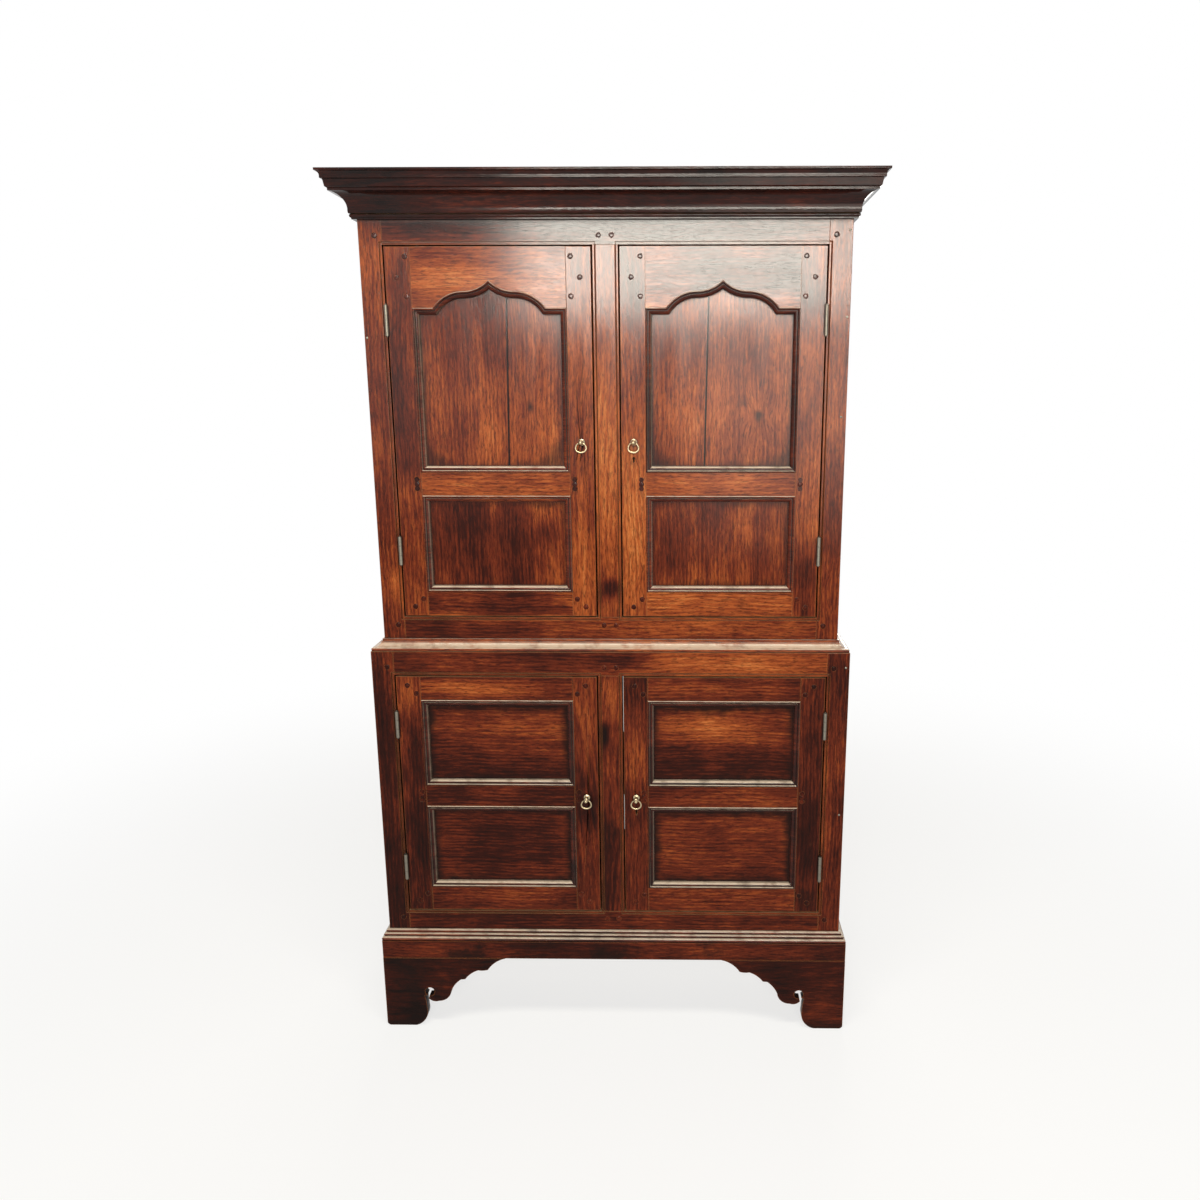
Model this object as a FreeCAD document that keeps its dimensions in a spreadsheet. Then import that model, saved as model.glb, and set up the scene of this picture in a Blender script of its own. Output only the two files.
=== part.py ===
import FreeCAD, Part
import math
import os
import re
import Sketcher

doc = FreeCAD.newDocument("Cupboard")

# Driving sizes of the cupboard, in millimetres
size_table = [
    # overall frame
    ("upper_width", 1044),
    ("upper_depth", 450),
    ("lower_step", 26),
    ("frame_thickness", 26),
    ("side_thickness", 20),
    ("back_thickness", 14),
    ("back_gap", 1.5),
    ("board_thickness", 18),
    ("floor_drop", 8),
    # upper stage
    ("upper_stile_width", 49.5),
    ("upper_muntin_width", 55),
    ("upper_bottom_rail", 76),
    ("upper_opening_height", 808),
    ("upper_top_rail", 108),
    ("cornice_projection", 62),
    ("cornice_height", 90),
    ("cornice_rise", 32),
    ("waist_projection", 24),
    ("waist_height", 25),
    # lower stage
    ("lower_stile_width", 51),
    ("lower_muntin_width", 55),
    ("lower_bottom_rail", 74),
    ("lower_opening_height", 596),
    ("lower_top_rail", 56),
    # base
    ("plinth_step", 16),
    ("plinth_height", 46),
    ("plinth_thickness", 42),
    ("base_moulding_projection", 14),
    ("base_moulding_height", 25),
    ("foot_height", 186),
    ("foot_length", 300),
    ("foot_return_length", 230),
    ("foot_thickness", 22),
    ("foot_block", 60),
    ("toe_width", 72),
    ("toe_chamfer", 8),
    ("scroll_offset", 110),
    ("scroll_height", 93.5),
    ("scroll_radius", 11.5),
    # shelves
    ("shelf_thickness", 18),
    ("shelf_setback", 45),
    ("bearer_height", 26),
    ("bearer_width", 20),
    # frame joints
    ("tenon_length", 34),
    ("tenon_thickness", 9),
    ("tenon_setback", 8),
    ("tenon_shoulder", 9.5),
    ("peg_radius", 5.4),
    ("peg_depth", 20),
    ("peg_proud", 0.8),
    ("peg_edge", 15),
    ("peg_end", 19),
    ("door_tenon_cover", 10),
    ("door_peg_near", 10.5),
    ("door_peg_far", 30),
    ("bead_width", 5),
    ("bead_quirk", 1.6),
    ("bead_depth", 1.6),
    # doors
    ("door_thickness", 24),
    ("door_gap", 3),
    ("upper_door_stile", 54),
    ("upper_door_bottom_rail", 56),
    ("upper_door_low_panel", 219),
    ("upper_door_mid_rail", 52),
    ("upper_door_top_rail", 125),
    ("lower_door_stile", 56),
    ("lower_door_bottom_rail", 60),
    ("lower_door_low_panel", 210),
    ("lower_door_mid_rail", 52),
    ("lower_door_top_rail", 57),
    ("arch_half", 121),
    ("arch_rise", 56.5),
    ("turn_half", 55),
    ("turn_rise", 34),
    ("panel_thickness", 10),
    ("panel_setback", 9),
    ("panel_joint", 0.8),
    ("groove_depth", 8),
    ("panel_play", 1),
    ("moulding_width", 14),
    ("moulding_proud", 3),
    # hinges
    ("hinge_length", 64),
    ("upper_hinge_inset", 151),
    ("lower_hinge_inset", 115),
    ("knuckle_radius", 4.2),
    ("knuckle_gap", 0.5),
    ("pin_radius", 1.9),
    ("pin_play", 0.4),
    ("pin_tip", 2),
    ("leaf_thickness", 1.2),
    ("leaf_depth", 20),
    ("leaf_play", 0.4),
    # handles and locks
    ("upper_handle_height", 393),
    ("lower_handle_height", 294),
    ("rosette_radius", 7.5),
    ("rosette_thickness", 2.4),
    ("neck_radius", 3.4),
    ("ball_reach", 16),
    ("ball_radius", 6),
    ("finial_radius", 4),
    ("finial_sink", 1.4),
    ("shank_radius", 2.4),
    ("shank_play", 0.3),
    ("rove_radius", 6.5),
    ("rove_thickness", 1.2),
    ("rivet_radius", 3.6),
    ("rivet_thickness", 1.2),
    ("ring_half", 9),
    ("ring_radius", 12.5),
    ("ring_wire", 1.7),
    ("ring_play", 0.4),
    ("keyhole_drop", 35),
    ("keyhole_radius", 3),
    ("keyhole_slot", 9),
    ("keyhole_slot_width", 3),
    ("lock_width", 44),
    ("lock_height", 62),
    ("lock_rise", 22),
    ("lock_thickness", 13),
    ("lock_corner", 3),
    # every cut runs past the face it leaves by this much
    ("overrun", 2),
]

sheet = doc.addObject("Spreadsheet::Sheet", "Sizes")
for row, (name, number) in enumerate(size_table, start=1):
    sheet.set(f"A{row}", name)
    sheet.set(f"B{row}", str(number))
    sheet.setAlias(f"B{row}", name)
doc.recompute()

size_names = sorted((name for name, number in size_table), key=len, reverse=True)
size_pattern = re.compile(r"\b(" + "|".join(size_names) + r")\b")


def bound(text):
    return size_pattern.sub(r"Sizes.\1", text)


def value(text):
    return float(sheet.evalExpression(bound(text)))


def drive(item, name, text):
    item.setExpression(name, bound(text))


def place(item, x, y, z):
    drive(item, "Placement.Base.x", x)
    drive(item, "Placement.Base.y", y)
    drive(item, "Placement.Base.z", z)


# Levels and planes that several pieces share
back_plane = "((upper_depth + cornice_projection) / 2)"
upper_front = "((cornice_projection - upper_depth) / 2)"
lower_front = f"({upper_front} - lower_step)"
plinth_front = f"({lower_front} - plinth_step)"
upper_half = "(upper_width / 2)"
lower_half = f"({upper_half} + lower_step)"
plinth_half = f"({lower_half} + plinth_step)"
lower_low = "(foot_height + plinth_height)"
lower_sill = f"({lower_low} + lower_bottom_rail)"
lower_head = f"({lower_sill} + lower_opening_height)"
upper_low = f"({lower_head} + lower_top_rail)"
upper_sill = f"({upper_low} + upper_bottom_rail)"
upper_head = f"({upper_sill} + upper_opening_height)"
upper_top = f"({upper_head} + upper_top_rail)"
cornice_low = f"({upper_top} + cornice_rise - cornice_height)"

stages = {
    "upper": {
        "front": upper_front, "half": upper_half, "low": upper_low, "sill": upper_sill, "head": upper_head,
        "top": upper_top, "stile": "upper_stile_width", "muntin": "upper_muntin_width",
        "top_rail": "upper_top_rail", "bottom_rail": "upper_bottom_rail", "opening": "upper_opening_height",
    },
    "lower": {
        "front": lower_front, "half": lower_half, "low": lower_low, "sill": lower_sill, "head": lower_head,
        "top": upper_low, "stile": "lower_stile_width", "muntin": "lower_muntin_width",
        "top_rail": "lower_top_rail", "bottom_rail": "lower_bottom_rail", "opening": "lower_opening_height",
    },
}
sides = {"left": -1, "right": 1}
pieces = {}


def span(side, inner, outer):
    # low x of a piece that reaches from inner to outer, measured from the centre line
    return f"({inner})" if side > 0 else f"(-({outer}))"


def box(name, width, depth, height, x, y, z):
    item = doc.addObject("Part::Box", name)
    drive(item, "Length", width)
    drive(item, "Width", depth)
    drive(item, "Height", height)
    place(item, x, y, z)
    return item


def turned(item, axis, angle):
    item.Placement = FreeCAD.Placement(FreeCAD.Vector(), FreeCAD.Rotation(FreeCAD.Vector(*axis), angle))
    return item


def cylinder(name, radius, length, x, y, z, along="z"):
    item = doc.addObject("Part::Cylinder", name)
    drive(item, "Radius", radius)
    drive(item, "Height", length)
    if along == "y":
        turned(item, (1, 0, 0), -90)
    if along == "x":
        turned(item, (0, 1, 0), 90)
    place(item, x, y, z)
    return item


def ball(name, radius, x, y, z):
    item = doc.addObject("Part::Sphere", name)
    drive(item, "Radius", radius)
    place(item, x, y, z)
    return item


def fuse(name, items):
    item = doc.addObject("Part::MultiFuse", name)
    item.Shapes = items
    return item


def gather(name, items):
    item = doc.addObject("Part::Compound", name)
    item.Links = items
    return item


def cut(name, base, tools):
    tool = tools[0] if len(tools) == 1 else gather(name + "_tools", tools)
    item = doc.addObject("Part::Cut", name)
    item.Base = base
    item.Tool = tool
    return item


def keep(label, item):
    item.Label = label
    pieces[label] = item
    return item


def body(name):
    item = doc.addObject("PartDesign::Body", name)
    return item


def plane(owner, role):
    return next(entry for entry in owner.Origin.OriginFeatures if entry.Role == role)


def minor_arc(start, end, sagitta):
    # point halfway along an arc that bulges by sagitta to the right of start to end
    along = end - start
    right = FreeCAD.Vector(along.y, -along.x, 0).normalize()
    middle = (start + end) * 0.5 + right * sagitta
    return Part.Arc(start, middle, end)


def outline(owner, name, role, points, closed=True):
    # Each point is (x, y, turn); turn shapes the run to the next point: 0 is straight, a number is the share
    # of the chord by which the arc bulges to the right, and (radius, sign) gives the radius and the side.
    sketch = owner.newObject("Sketcher::SketchObject", name)
    sketch.AttachmentSupport = [(plane(owner, role), "")]
    sketch.MapMode = "FlatFace"
    places = [FreeCAD.Vector(value(x), value(y), 0) for x, y, turn in points]
    count = len(points)
    runs = count if closed else count - 1
    starts = []
    ends = []
    for index in range(runs):
        following = (index + 1) % count
        start, end = places[index], places[following]
        turn = points[index][2]
        chord = (end - start).Length
        if isinstance(turn, tuple):
            radius = value(turn[0])
            sagitta = turn[1] * (radius - math.sqrt(radius * radius - chord * chord / 4))
            radius_text = turn[0]
        elif turn:
            sagitta = turn * chord
            x0, y0 = points[index][:2]
            x1, y1 = points[following][:2]
            reach_share = (0.25 + turn * turn) / (2 * abs(turn))
            radius_text = f"sqrt((({x1}) - ({x0}))^2 + (({y1}) - ({y0}))^2) * {reach_share}"
        else:
            sagitta = 0
        if sagitta:
            geometry = sketch.addGeometry(minor_arc(start, end, sagitta), False)
            radius_index = sketch.addConstraint(Sketcher.Constraint("Radius", geometry, value(radius_text)))
            drive(sketch, f"Constraints[{radius_index}]", radius_text)
        else:
            geometry = sketch.addGeometry(Part.LineSegment(start, end), False)
        starts.append((geometry, 1 if sagitta >= 0 else 2))
        ends.append((geometry, 2 if sagitta >= 0 else 1))
    for index in range(runs):
        following = (index + 1) % runs
        if closed or following:
            sketch.addConstraint(Sketcher.Constraint("Coincident", *ends[index], *starts[following]))
    anchors = list(starts) if closed else starts + [ends[-1]]
    for (x, y, turn), spot, anchor in zip(points, places, anchors):
        for kind, text, number in (("DistanceX", x, spot.x), ("DistanceY", y, spot.y)):
            slot = sketch.addConstraint(Sketcher.Constraint(kind, -1, 1, *anchor, number))
            drive(sketch, f"Constraints[{slot}]", text)
    return sketch


def pad(owner, sketch, length, reverse=False):
    feature = owner.newObject("PartDesign::Pad", sketch.Name + "_pad")
    feature.Profile = sketch
    drive(feature, "Length", length)
    feature.Reversed = reverse
    return feature


def sweep(owner, profile, path):
    doc.recompute()
    feature = owner.newObject("PartDesign::AdditivePipe", path.Name + "_run")
    feature.Profile = profile
    feature.Spine = (path, [f"Edge{index + 1}" for index in range(path.GeometryCount)])
    feature.Transition = "Right corner"
    return feature


def peg(name, x, front, z):
    # riven eight-sided peg, driven in from the front
    item = doc.addObject("Part::Prism", name)
    item.Polygon = 8
    drive(item, "Circumradius", "peg_radius")
    drive(item, "Height", "peg_depth + peg_proud")
    turned(item, (1, 0, 0), -90)
    place(item, x, f"{front} - peg_proud", z)
    return item


def tenon(name, front, x, z, width, height):
    return box(name, width, "tenon_thickness", height, x, f"{front} + tenon_setback", z)


# Face frames: stiles run full height, rails are tenoned between them and the muntin between the rails
carcass_pegs = []
for stage, at in stages.items():
    front = at["front"]
    inner = f"({at['half']} - {at['stile']})"
    centre = f"({at['muntin']} / 2)"
    cuts = {"left": [], "right": [], "top": [], "bottom": [], "muntin": []}
    joins = {"top": [], "bottom": [], "muntin": []}
    rails = {
        "top": (at["head"], at["top_rail"], f"{at['head']} + peg_end"),
        "bottom": (at["low"], at["bottom_rail"], f"{at['sill']} - peg_end"),
    }
    for rail, (low, height, peg_level) in rails.items():
        for hand, side in sides.items():
            tongue = tenon(f"{stage}_{rail}_{hand}_tenon", front,
                           span(side, inner, f"{inner} + tenon_length"),
                           f"{low} + tenon_shoulder", "tenon_length", f"{height} - 2 * tenon_shoulder")
            joins[rail].append(tongue)
            cuts[hand].append(tongue)
            pin = peg(f"{stage}_{rail}_{hand}_peg", f"{side} * ({inner} + peg_edge)", front, peg_level)
            carcass_pegs.append(pin)
            cuts[hand].append(pin)
            cuts[rail].append(pin)
            pin = peg(f"{stage}_{rail}_{hand}_muntin_peg", f"{side} * {at['muntin']} / 4", front, peg_level)
            carcass_pegs.append(pin)
            cuts[rail].append(pin)
            cuts["muntin"].append(pin)
        level = at["head"] if rail == "top" else f"{at['sill']} - tenon_length"
        tongue = tenon(f"{stage}_muntin_{rail}_tenon", front, f"tenon_shoulder / 2 - {centre}", level,
                       f"{at['muntin']} - tenon_shoulder", "tenon_length")
        joins["muntin"].append(tongue)
        cuts[rail].append(tongue)
    for hand, side in sides.items():
        # scratched bead round the door opening
        width = f"({inner} - {centre})"
        far = box(f"{stage}_{hand}_bead_far", f"{width} + 2 * (bead_width + bead_quirk)",
                  "bead_depth + overrun",
                  f"{at['opening']} + 2 * (bead_width + bead_quirk)",
                  span(side, f"{centre} - bead_width - bead_quirk", f"{inner} + bead_width + bead_quirk"),
                  f"{front} - overrun", f"{at['sill']} - bead_width - bead_quirk")
        near = box(f"{stage}_{hand}_bead_near", f"{width} + 2 * bead_width", "bead_depth + 3 * overrun",
                   f"{at['opening']} + 2 * bead_width",
                   span(side, f"{centre} - bead_width", f"{inner} + bead_width"),
                   f"{front} - 2 * overrun", f"{at['sill']} - bead_width")
        quirk = cut(f"{stage}_{hand}_bead", far, [near])
        for member in (hand, "top", "bottom", "muntin"):
            cuts[member].append(quirk)
        blank = box(f"{stage}_{hand}_stile_blank", at["stile"], "frame_thickness",
                    f"{at['top']} - {at['low']}",
                    span(side, inner, at["half"]), front, at["low"])
        keep(f"{stage}_{hand}_stile", cut(f"{stage}_{hand}_stile_body", blank, cuts[hand]))
    finished = []
    for rail, (low, height, peg_level) in rails.items():
        blank = box(f"{stage}_{rail}_rail_blank", f"2 * {inner}", "frame_thickness", height, f"-{inner}",
                    front, low)
        whole = fuse(f"{stage}_{rail}_rail_whole", [blank] + joins[rail])
        finished.append(cut(f"{stage}_{rail}_rail_body", whole, cuts[rail]))
    keep(f"{stage}_rails", gather(f"{stage}_rails_group", finished))
    blank = box(f"{stage}_muntin_blank", at["muntin"], "frame_thickness", at["opening"], f"-{centre}", front,
                at["sill"])
    whole = fuse(f"{stage}_muntin_whole", [blank] + joins["muntin"])
    keep(f"{stage}_muntin", cut(f"{stage}_muntin_body", whole, cuts["muntin"]))
keep("carcass_pegs", gather("carcass_pegs_group", carcass_pegs))

# Carcass boards behind the face frames
back_board_count = 6
for stage, at in stages.items():
    behind = f"({at['front']} + frame_thickness)"
    inside = f"({back_plane} - back_thickness - {behind})"
    clear = f"({at['half']} - side_thickness)"
    planks = []
    bearers = []
    shelf_level = f"({at['sill']} + {stage}_door_bottom_rail + {stage}_door_low_panel + door_gap)"
    for hand, side in sides.items():
        planks.append(box(f"{stage}_{hand}_side", "side_thickness", inside, f"{at['top']} - {at['low']}",
                          span(side, clear, at["half"]), behind, at["low"]))
        bearers.append(box(f"{stage}_{hand}_bearer", "bearer_width", f"{inside} - shelf_setback",
                           "bearer_height",
                           span(side, f"{clear} - bearer_width", clear), f"{behind} + shelf_setback",
                           f"{shelf_level} - bearer_height"))
    keep(f"{stage}_sides", gather(f"{stage}_sides_group", planks))
    shelf = box(f"{stage}_shelf_board", f"2 * {clear}", f"{inside} - shelf_setback", "shelf_thickness",
                f"-{clear}",
                f"{behind} + shelf_setback", shelf_level)
    keep(f"{stage}_shelf", gather(f"{stage}_shelf_group", [shelf] + bearers))
    floor = box(f"{stage}_floor", f"2 * {clear}", inside, "board_thickness", f"-{clear}", behind,
                f"{at['sill']} - floor_drop - board_thickness")
    if stage == "upper":
        top = box("upper_top", f"2 * {at['half']}", f"{back_plane} - {at['front']}", "board_thickness",
                  f"-{at['half']}", at["front"], at["top"])
    else:
        top = box("lower_top", f"2 * {clear}", inside, "board_thickness", f"-{clear}", behind,
                  f"{at['top']} - board_thickness")
    keep(f"{stage}_boards", gather(f"{stage}_boards_group", [floor, top]))
    boards = []
    for index in range(back_board_count):
        pitch = f"(2 * {at['half']} / {back_board_count})"
        boards.append(box(f"{stage}_back_{index}", f"{pitch} - back_gap", "back_thickness",
                          f"{at['top']} - {at['low']}", f"{index} * {pitch} - {at['half']} + back_gap / 2",
                          f"{back_plane} - back_thickness", at["low"]))
    keep(f"{stage}_back", gather(f"{stage}_back_group", boards))

# Mouldings that run along the left side, the front and the right side with mitred corners.
# Profiles are shares of projection and height, from the foot of the back edge outward and up.
cornice_shares = [
    (0, 0, 0), (0.14, 0, 0), (0.14, 0.03, 0.4), (0.14, 0.12, 0), (0.21, 0.125, 0), (0.225, 0.17, -0.2),
    (0.66, 0.56, 0), (0.695, 0.56, 0), (0.695, 0.61, 0), (0.76, 0.635, 0), (0.8, 0.79, 0), (0.87, 0.8, 0),
    (0.87, 0.845, -0.2), (1, 0.95, 0), (1, 1, 0), (0, 1, 0),
]
waist_shares = [
    (0, 0, 0), (0.96, 0, 0), (1, 0.08, 0), (1, 0.27, 0), (0.9, 0.33, -0.18), (0.2, 0.76, 0), (0.14, 0.76, 0),
    (0.14, 1, 0), (0, 1, 0),
]
base_shares = [
    (0, 0, 0), (0.84, 0, 0.42), (0.84, 0.38, 0), (0.66, 0.38, 0), (0.66, 0.44, 0.4), (0.6, 0.7, 0),
    (0.42, 0.7, 0), (0.42, 0.76, 0.25), (0.2, 1, 0), (0, 1, 0),
]


def edge_moulding(label, half, front, low, projection, height, profile_shares):
    owner = body(label + "_body")
    doc.recompute()
    depth = f"({back_plane} - {front})"
    width = f"(2 * {half})"
    path = outline(owner, label + "_path", "XY_Plane",
                   [("0", "0", 0), ("0", f"-{depth}", 0), (width, f"-{depth}", 0), (width, "0", 0)],
                   closed=False)
    section = [(f"-{out_share} * {projection}", f"{up_share} * {height}", -turn)
               for out_share, up_share, turn in profile_shares]
    profile = outline(owner, label + "_profile", "XZ_Plane", section)
    sweep(owner, profile, path)
    place(owner, f"-{half}", back_plane, low)
    return keep(label, owner)


edge_moulding("cornice", upper_half, upper_front, cornice_low, "cornice_projection", "cornice_height",
              cornice_shares)
edge_moulding("waist_moulding", upper_half, upper_front, upper_low, "waist_projection", "waist_height",
              waist_shares)
edge_moulding("base_moulding", lower_half, lower_front, lower_low, "base_moulding_projection",
              "base_moulding_height",
              base_shares)

# Base: plinth rails on scrolled bracket feet
side_run = f"({back_plane} - {plinth_front} - plinth_thickness)"
plinth = [box("plinth_front", f"2 * {plinth_half}", "plinth_thickness", "plinth_height", f"-{plinth_half}",
              plinth_front, "foot_height")]
for hand, side in sides.items():
    plinth.append(box(f"plinth_{hand}", "plinth_thickness", side_run, "plinth_height",
                      span(side, f"{plinth_half} - plinth_thickness", plinth_half),
                      f"{plinth_front} + plinth_thickness", "foot_height"))
keep("plinth", gather("plinth_group", plinth))

# The scroll under the bracket: a drilled eye with a mouth, then two lobes that climb to the plinth.
# Lobe points are shares of the run from the eye to the bracket's tip and of the foot's height.
lobe_shares = [
    (0.115, 0.366, 0.2), (0.279, 0.516, -0.07), (0.411, 0.686, 0), (0.468, 0.691, -0.08),
    (0.642, 0.823, 0.06),
    (0.768, 0.831, -0.1),
]
eye_angles = (235, 120, 0, -100)
# Inner edge of the toe, mouth and lip of the scroll, as shares of the eye's radius from its middle
edge_share = 0.75
mouth_share = 1.15
lip_share = 0.3
lip_drop_share = 1.65
# How far each rounded run of the toe and the lip bulges, as shares of its length
corner_bulge_share = 0.15
toe_bulge_share = 0.2
edge_bulge_share = 0.03
lip_bulge_share = 0.16


def bracket_points(length, side):
    rest = f"({length} - scroll_offset)"
    points = [
        ("0", "foot_height", 0),
        ("0", "toe_chamfer", corner_bulge_share),
        ("toe_chamfer", "0", 0),
        ("toe_width", "0", toe_bulge_share),
        (f"scroll_offset - {edge_share} * scroll_radius", "scroll_height / 2", edge_bulge_share),
        (f"scroll_offset - {mouth_share} * scroll_radius", "scroll_height - scroll_radius", 0),
    ]
    for index, angle in enumerate(eye_angles):
        across_share = math.cos(math.radians(angle))
        up_share = math.sin(math.radians(angle))
        turn = 0
        if index + 1 < len(eye_angles):
            turn = -math.tan(math.radians(angle - eye_angles[index + 1]) / 4) / 2
        points.append((f"scroll_offset + {across_share} * scroll_radius",
                       f"scroll_height + {up_share} * scroll_radius", turn))
    points.append((f"scroll_offset - {lip_share} * scroll_radius",
                   f"scroll_height - {lip_drop_share} * scroll_radius", lip_bulge_share))
    for along_share, up_share, turn in lobe_shares:
        points.append((f"scroll_offset + {along_share} * {rest}", f"{up_share} * foot_height", turn))
    points.append((length, "foot_height", 0))
    return [(f"{side} * ({x})", y, side * turn) for x, y, turn in points]


def bracket(name, length, role, side, reverse, x, y):
    owner = body(name)
    doc.recompute()
    sketch = outline(owner, name + "_outline", role, bracket_points(length, side))
    pad(owner, sketch, "foot_thickness", reverse)
    place(owner, x, y, "0")
    return owner


back_feet = []
for hand, side in sides.items():
    corner = f"{side} * {plinth_half}"
    front_piece = bracket(f"{hand}_foot_front", "foot_length", "XZ_Plane", -side, True, corner, plinth_front)
    return_piece = bracket(f"{hand}_foot_return", "foot_return_length", "YZ_Plane", 1, side > 0,
                           corner, plinth_front)
    block = box(f"{hand}_foot_block", "foot_block", "foot_block", "foot_height",
                span(side, f"{plinth_half} - foot_thickness - foot_block", f"{plinth_half} - foot_thickness"),
                f"{plinth_front} + foot_thickness", "0")
    keep(f"{hand}_foot", fuse(f"{hand}_foot_whole", [front_piece, return_piece, block]))
    rear_piece = bracket(f"{hand}_rear_foot_return", "foot_return_length", "YZ_Plane", -1, side > 0,
                         corner, back_plane)
    rear_block = box(f"{hand}_rear_foot_block", "foot_block", "foot_block", "foot_height",
                     span(side, f"{plinth_half} - foot_thickness - foot_block",
                          f"{plinth_half} - foot_thickness"),
                     f"{back_plane} - foot_block", "0")
    back_feet.append(fuse(f"{hand}_rear_foot", [rear_piece, rear_block]))
keep("back_feet", gather("back_feet_group", back_feet))

# Doors. The ogee head is two arcs a side that meet level at the turn: a convex one from the shoulder, then a
# concave one up to the point. An offset outline keeps both centres and changes only the radii.
convex_radius = "(((arch_half - turn_half)^2 + turn_rise^2) / (2 * turn_rise))"
concave_radius = "((turn_half^2 + (arch_rise - turn_rise)^2) / (2 * (arch_rise - turn_rise)))"


def panel_outline(owner, name, half, height, offset, arched):
    # outline of a panel opening grown by offset, from the middle of its foot
    low = f"-({offset})"
    shoulder = f"({height} + ({offset}))"
    side = f"({half} + ({offset}))"
    right = [("0", low, 0), (side, low, 0)]
    if not arched:
        points = right + [(side, shoulder, 0), (f"-{side}", shoulder, 0), (f"-{side}", low, 0)]
        return outline(owner, name, "XZ_Plane", points)
    outer = f"({convex_radius} + ({offset}))"
    hollow = f"({concave_radius} - ({offset}))"
    drop = f"({convex_radius} - turn_rise + ({offset}))"
    start = f"(turn_half + sqrt({outer}^2 - {drop}^2))"
    turn = f"({height} + turn_rise + ({offset}))"
    point = f"({height} + turn_rise + {concave_radius} - sqrt({hollow}^2 - turn_half^2))"
    points = right + [
        (side, shoulder, 0),
        (start, shoulder, (outer, 1)),
        ("turn_half", turn, (hollow, -1)),
        ("0", point, (hollow, -1)),
        ("-turn_half", turn, (outer, 1)),
        (f"-{start}", shoulder, 0),
        (f"-{side}", shoulder, 0),
        (f"-{side}", low, 0),
    ]
    return outline(owner, name, "XZ_Plane", points)


def slab(name, half, height, offset, arched, x, y, z, thickness):
    owner = body(name)
    doc.recompute()
    sketch = panel_outline(owner, name + "_outline", half, height, offset, arched)
    pad(owner, sketch, thickness, True)
    place(owner, x, y, z)
    return owner


# Panel moulding: bead, quirk and ovolo, as shares of its depth from the panel and of its width from the frame
moulding_shares = [
    (0, 0, 0), (0.8, 0, 0.35), (0.8, 0.3, 0), (0.55, 0.32, 0), (0.55, 0.42, 0), (0.78, 0.45, 0.22),
    (0.2, 0.93, 0),
    (0.2, 1, 0), (0, 1, 0),
]


def panel_moulding(name, half, height, arched, x, front, z):
    owner = body(name)
    doc.recompute()
    path = panel_outline(owner, name + "_path", half, height, "0", arched)
    depth = "(panel_setback + moulding_proud)"
    section = [(f"-{out_share} * {depth}", f"{in_share} * moulding_width", -turn)
               for out_share, in_share, turn in moulding_shares]
    profile = outline(owner, name + "_profile", "YZ_Plane", section)
    sweep(owner, profile, path)
    place(owner, x, f"{front} + panel_setback", z)
    return owner


def lock_case(name, x, y, key_level):
    # iron lock case on the back of the stile, with a rounded rim
    owner = body(f"{name}_case")
    doc.recompute()
    half = "(lock_width / 2)"
    low = "(lock_rise - lock_height)"
    high = "lock_rise"
    sketch = outline(owner, f"{name}_outline", "XZ_Plane", [
        (f"-{half}", low, 0), (half, low, 0), (half, high, 0), (f"-{half}", high, 0),
    ])
    feature = pad(owner, sketch, "lock_thickness", True)
    doc.recompute()
    rim = [f"Edge{index + 1}" for index, edge in enumerate(feature.Shape.Edges)
           if edge.BoundBox.YMin > value("lock_thickness / 2")]
    soft = owner.newObject("PartDesign::Fillet", f"{name}_rim")
    soft.Base = (feature, rim)
    drive(soft, "Radius", "lock_corner")
    place(owner, x, y, key_level)
    return owner


# The arched panels are two boards: where their joint lies across the half panel, and how far it leans
joint_share = 0.2
joint_lean_share = 0.018


def two_boards(name, board, x, y, z, height):
    # a panel parted by an open joint that leans a little
    saw = box(f"{name}_joint", "panel_joint", "panel_thickness + 2 * overrun",
              f"{height} + arch_rise + 2 * (groove_depth + overrun)", "0", "0", "0")
    turned(saw, (0, 1, 0), math.degrees(math.atan(joint_lean_share)))
    place(saw, f"{x} - {joint_lean_share} * {height} / 2", f"{y} - overrun", f"{z} - groove_depth - overrun")
    return cut(f"{name}_boards", board, [saw])


# Pegs of each door joint, staggered so that they don't split the tenon: distance from the joint line, and
# height as a share of the rail
door_peg_shares = {
    "upper_top": [("door_peg_near", 0.84), ("door_peg_far", 0.5), ("door_peg_near", 0.19)],
    "upper_mid": [("door_peg_near", 0.69), ("door_peg_near", 0.31)],
    "upper_bottom": [("door_peg_near", 0.7), ("door_peg_far", 0.38)],
    "lower_top": [("door_peg_far", 0.62), ("door_peg_near", 0.28)],
    "lower_mid": [("door_peg_near", 0.69), ("door_peg_near", 0.31)],
    "lower_bottom": [("door_peg_near", 0.7), ("door_peg_far", 0.38)],
}

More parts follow.
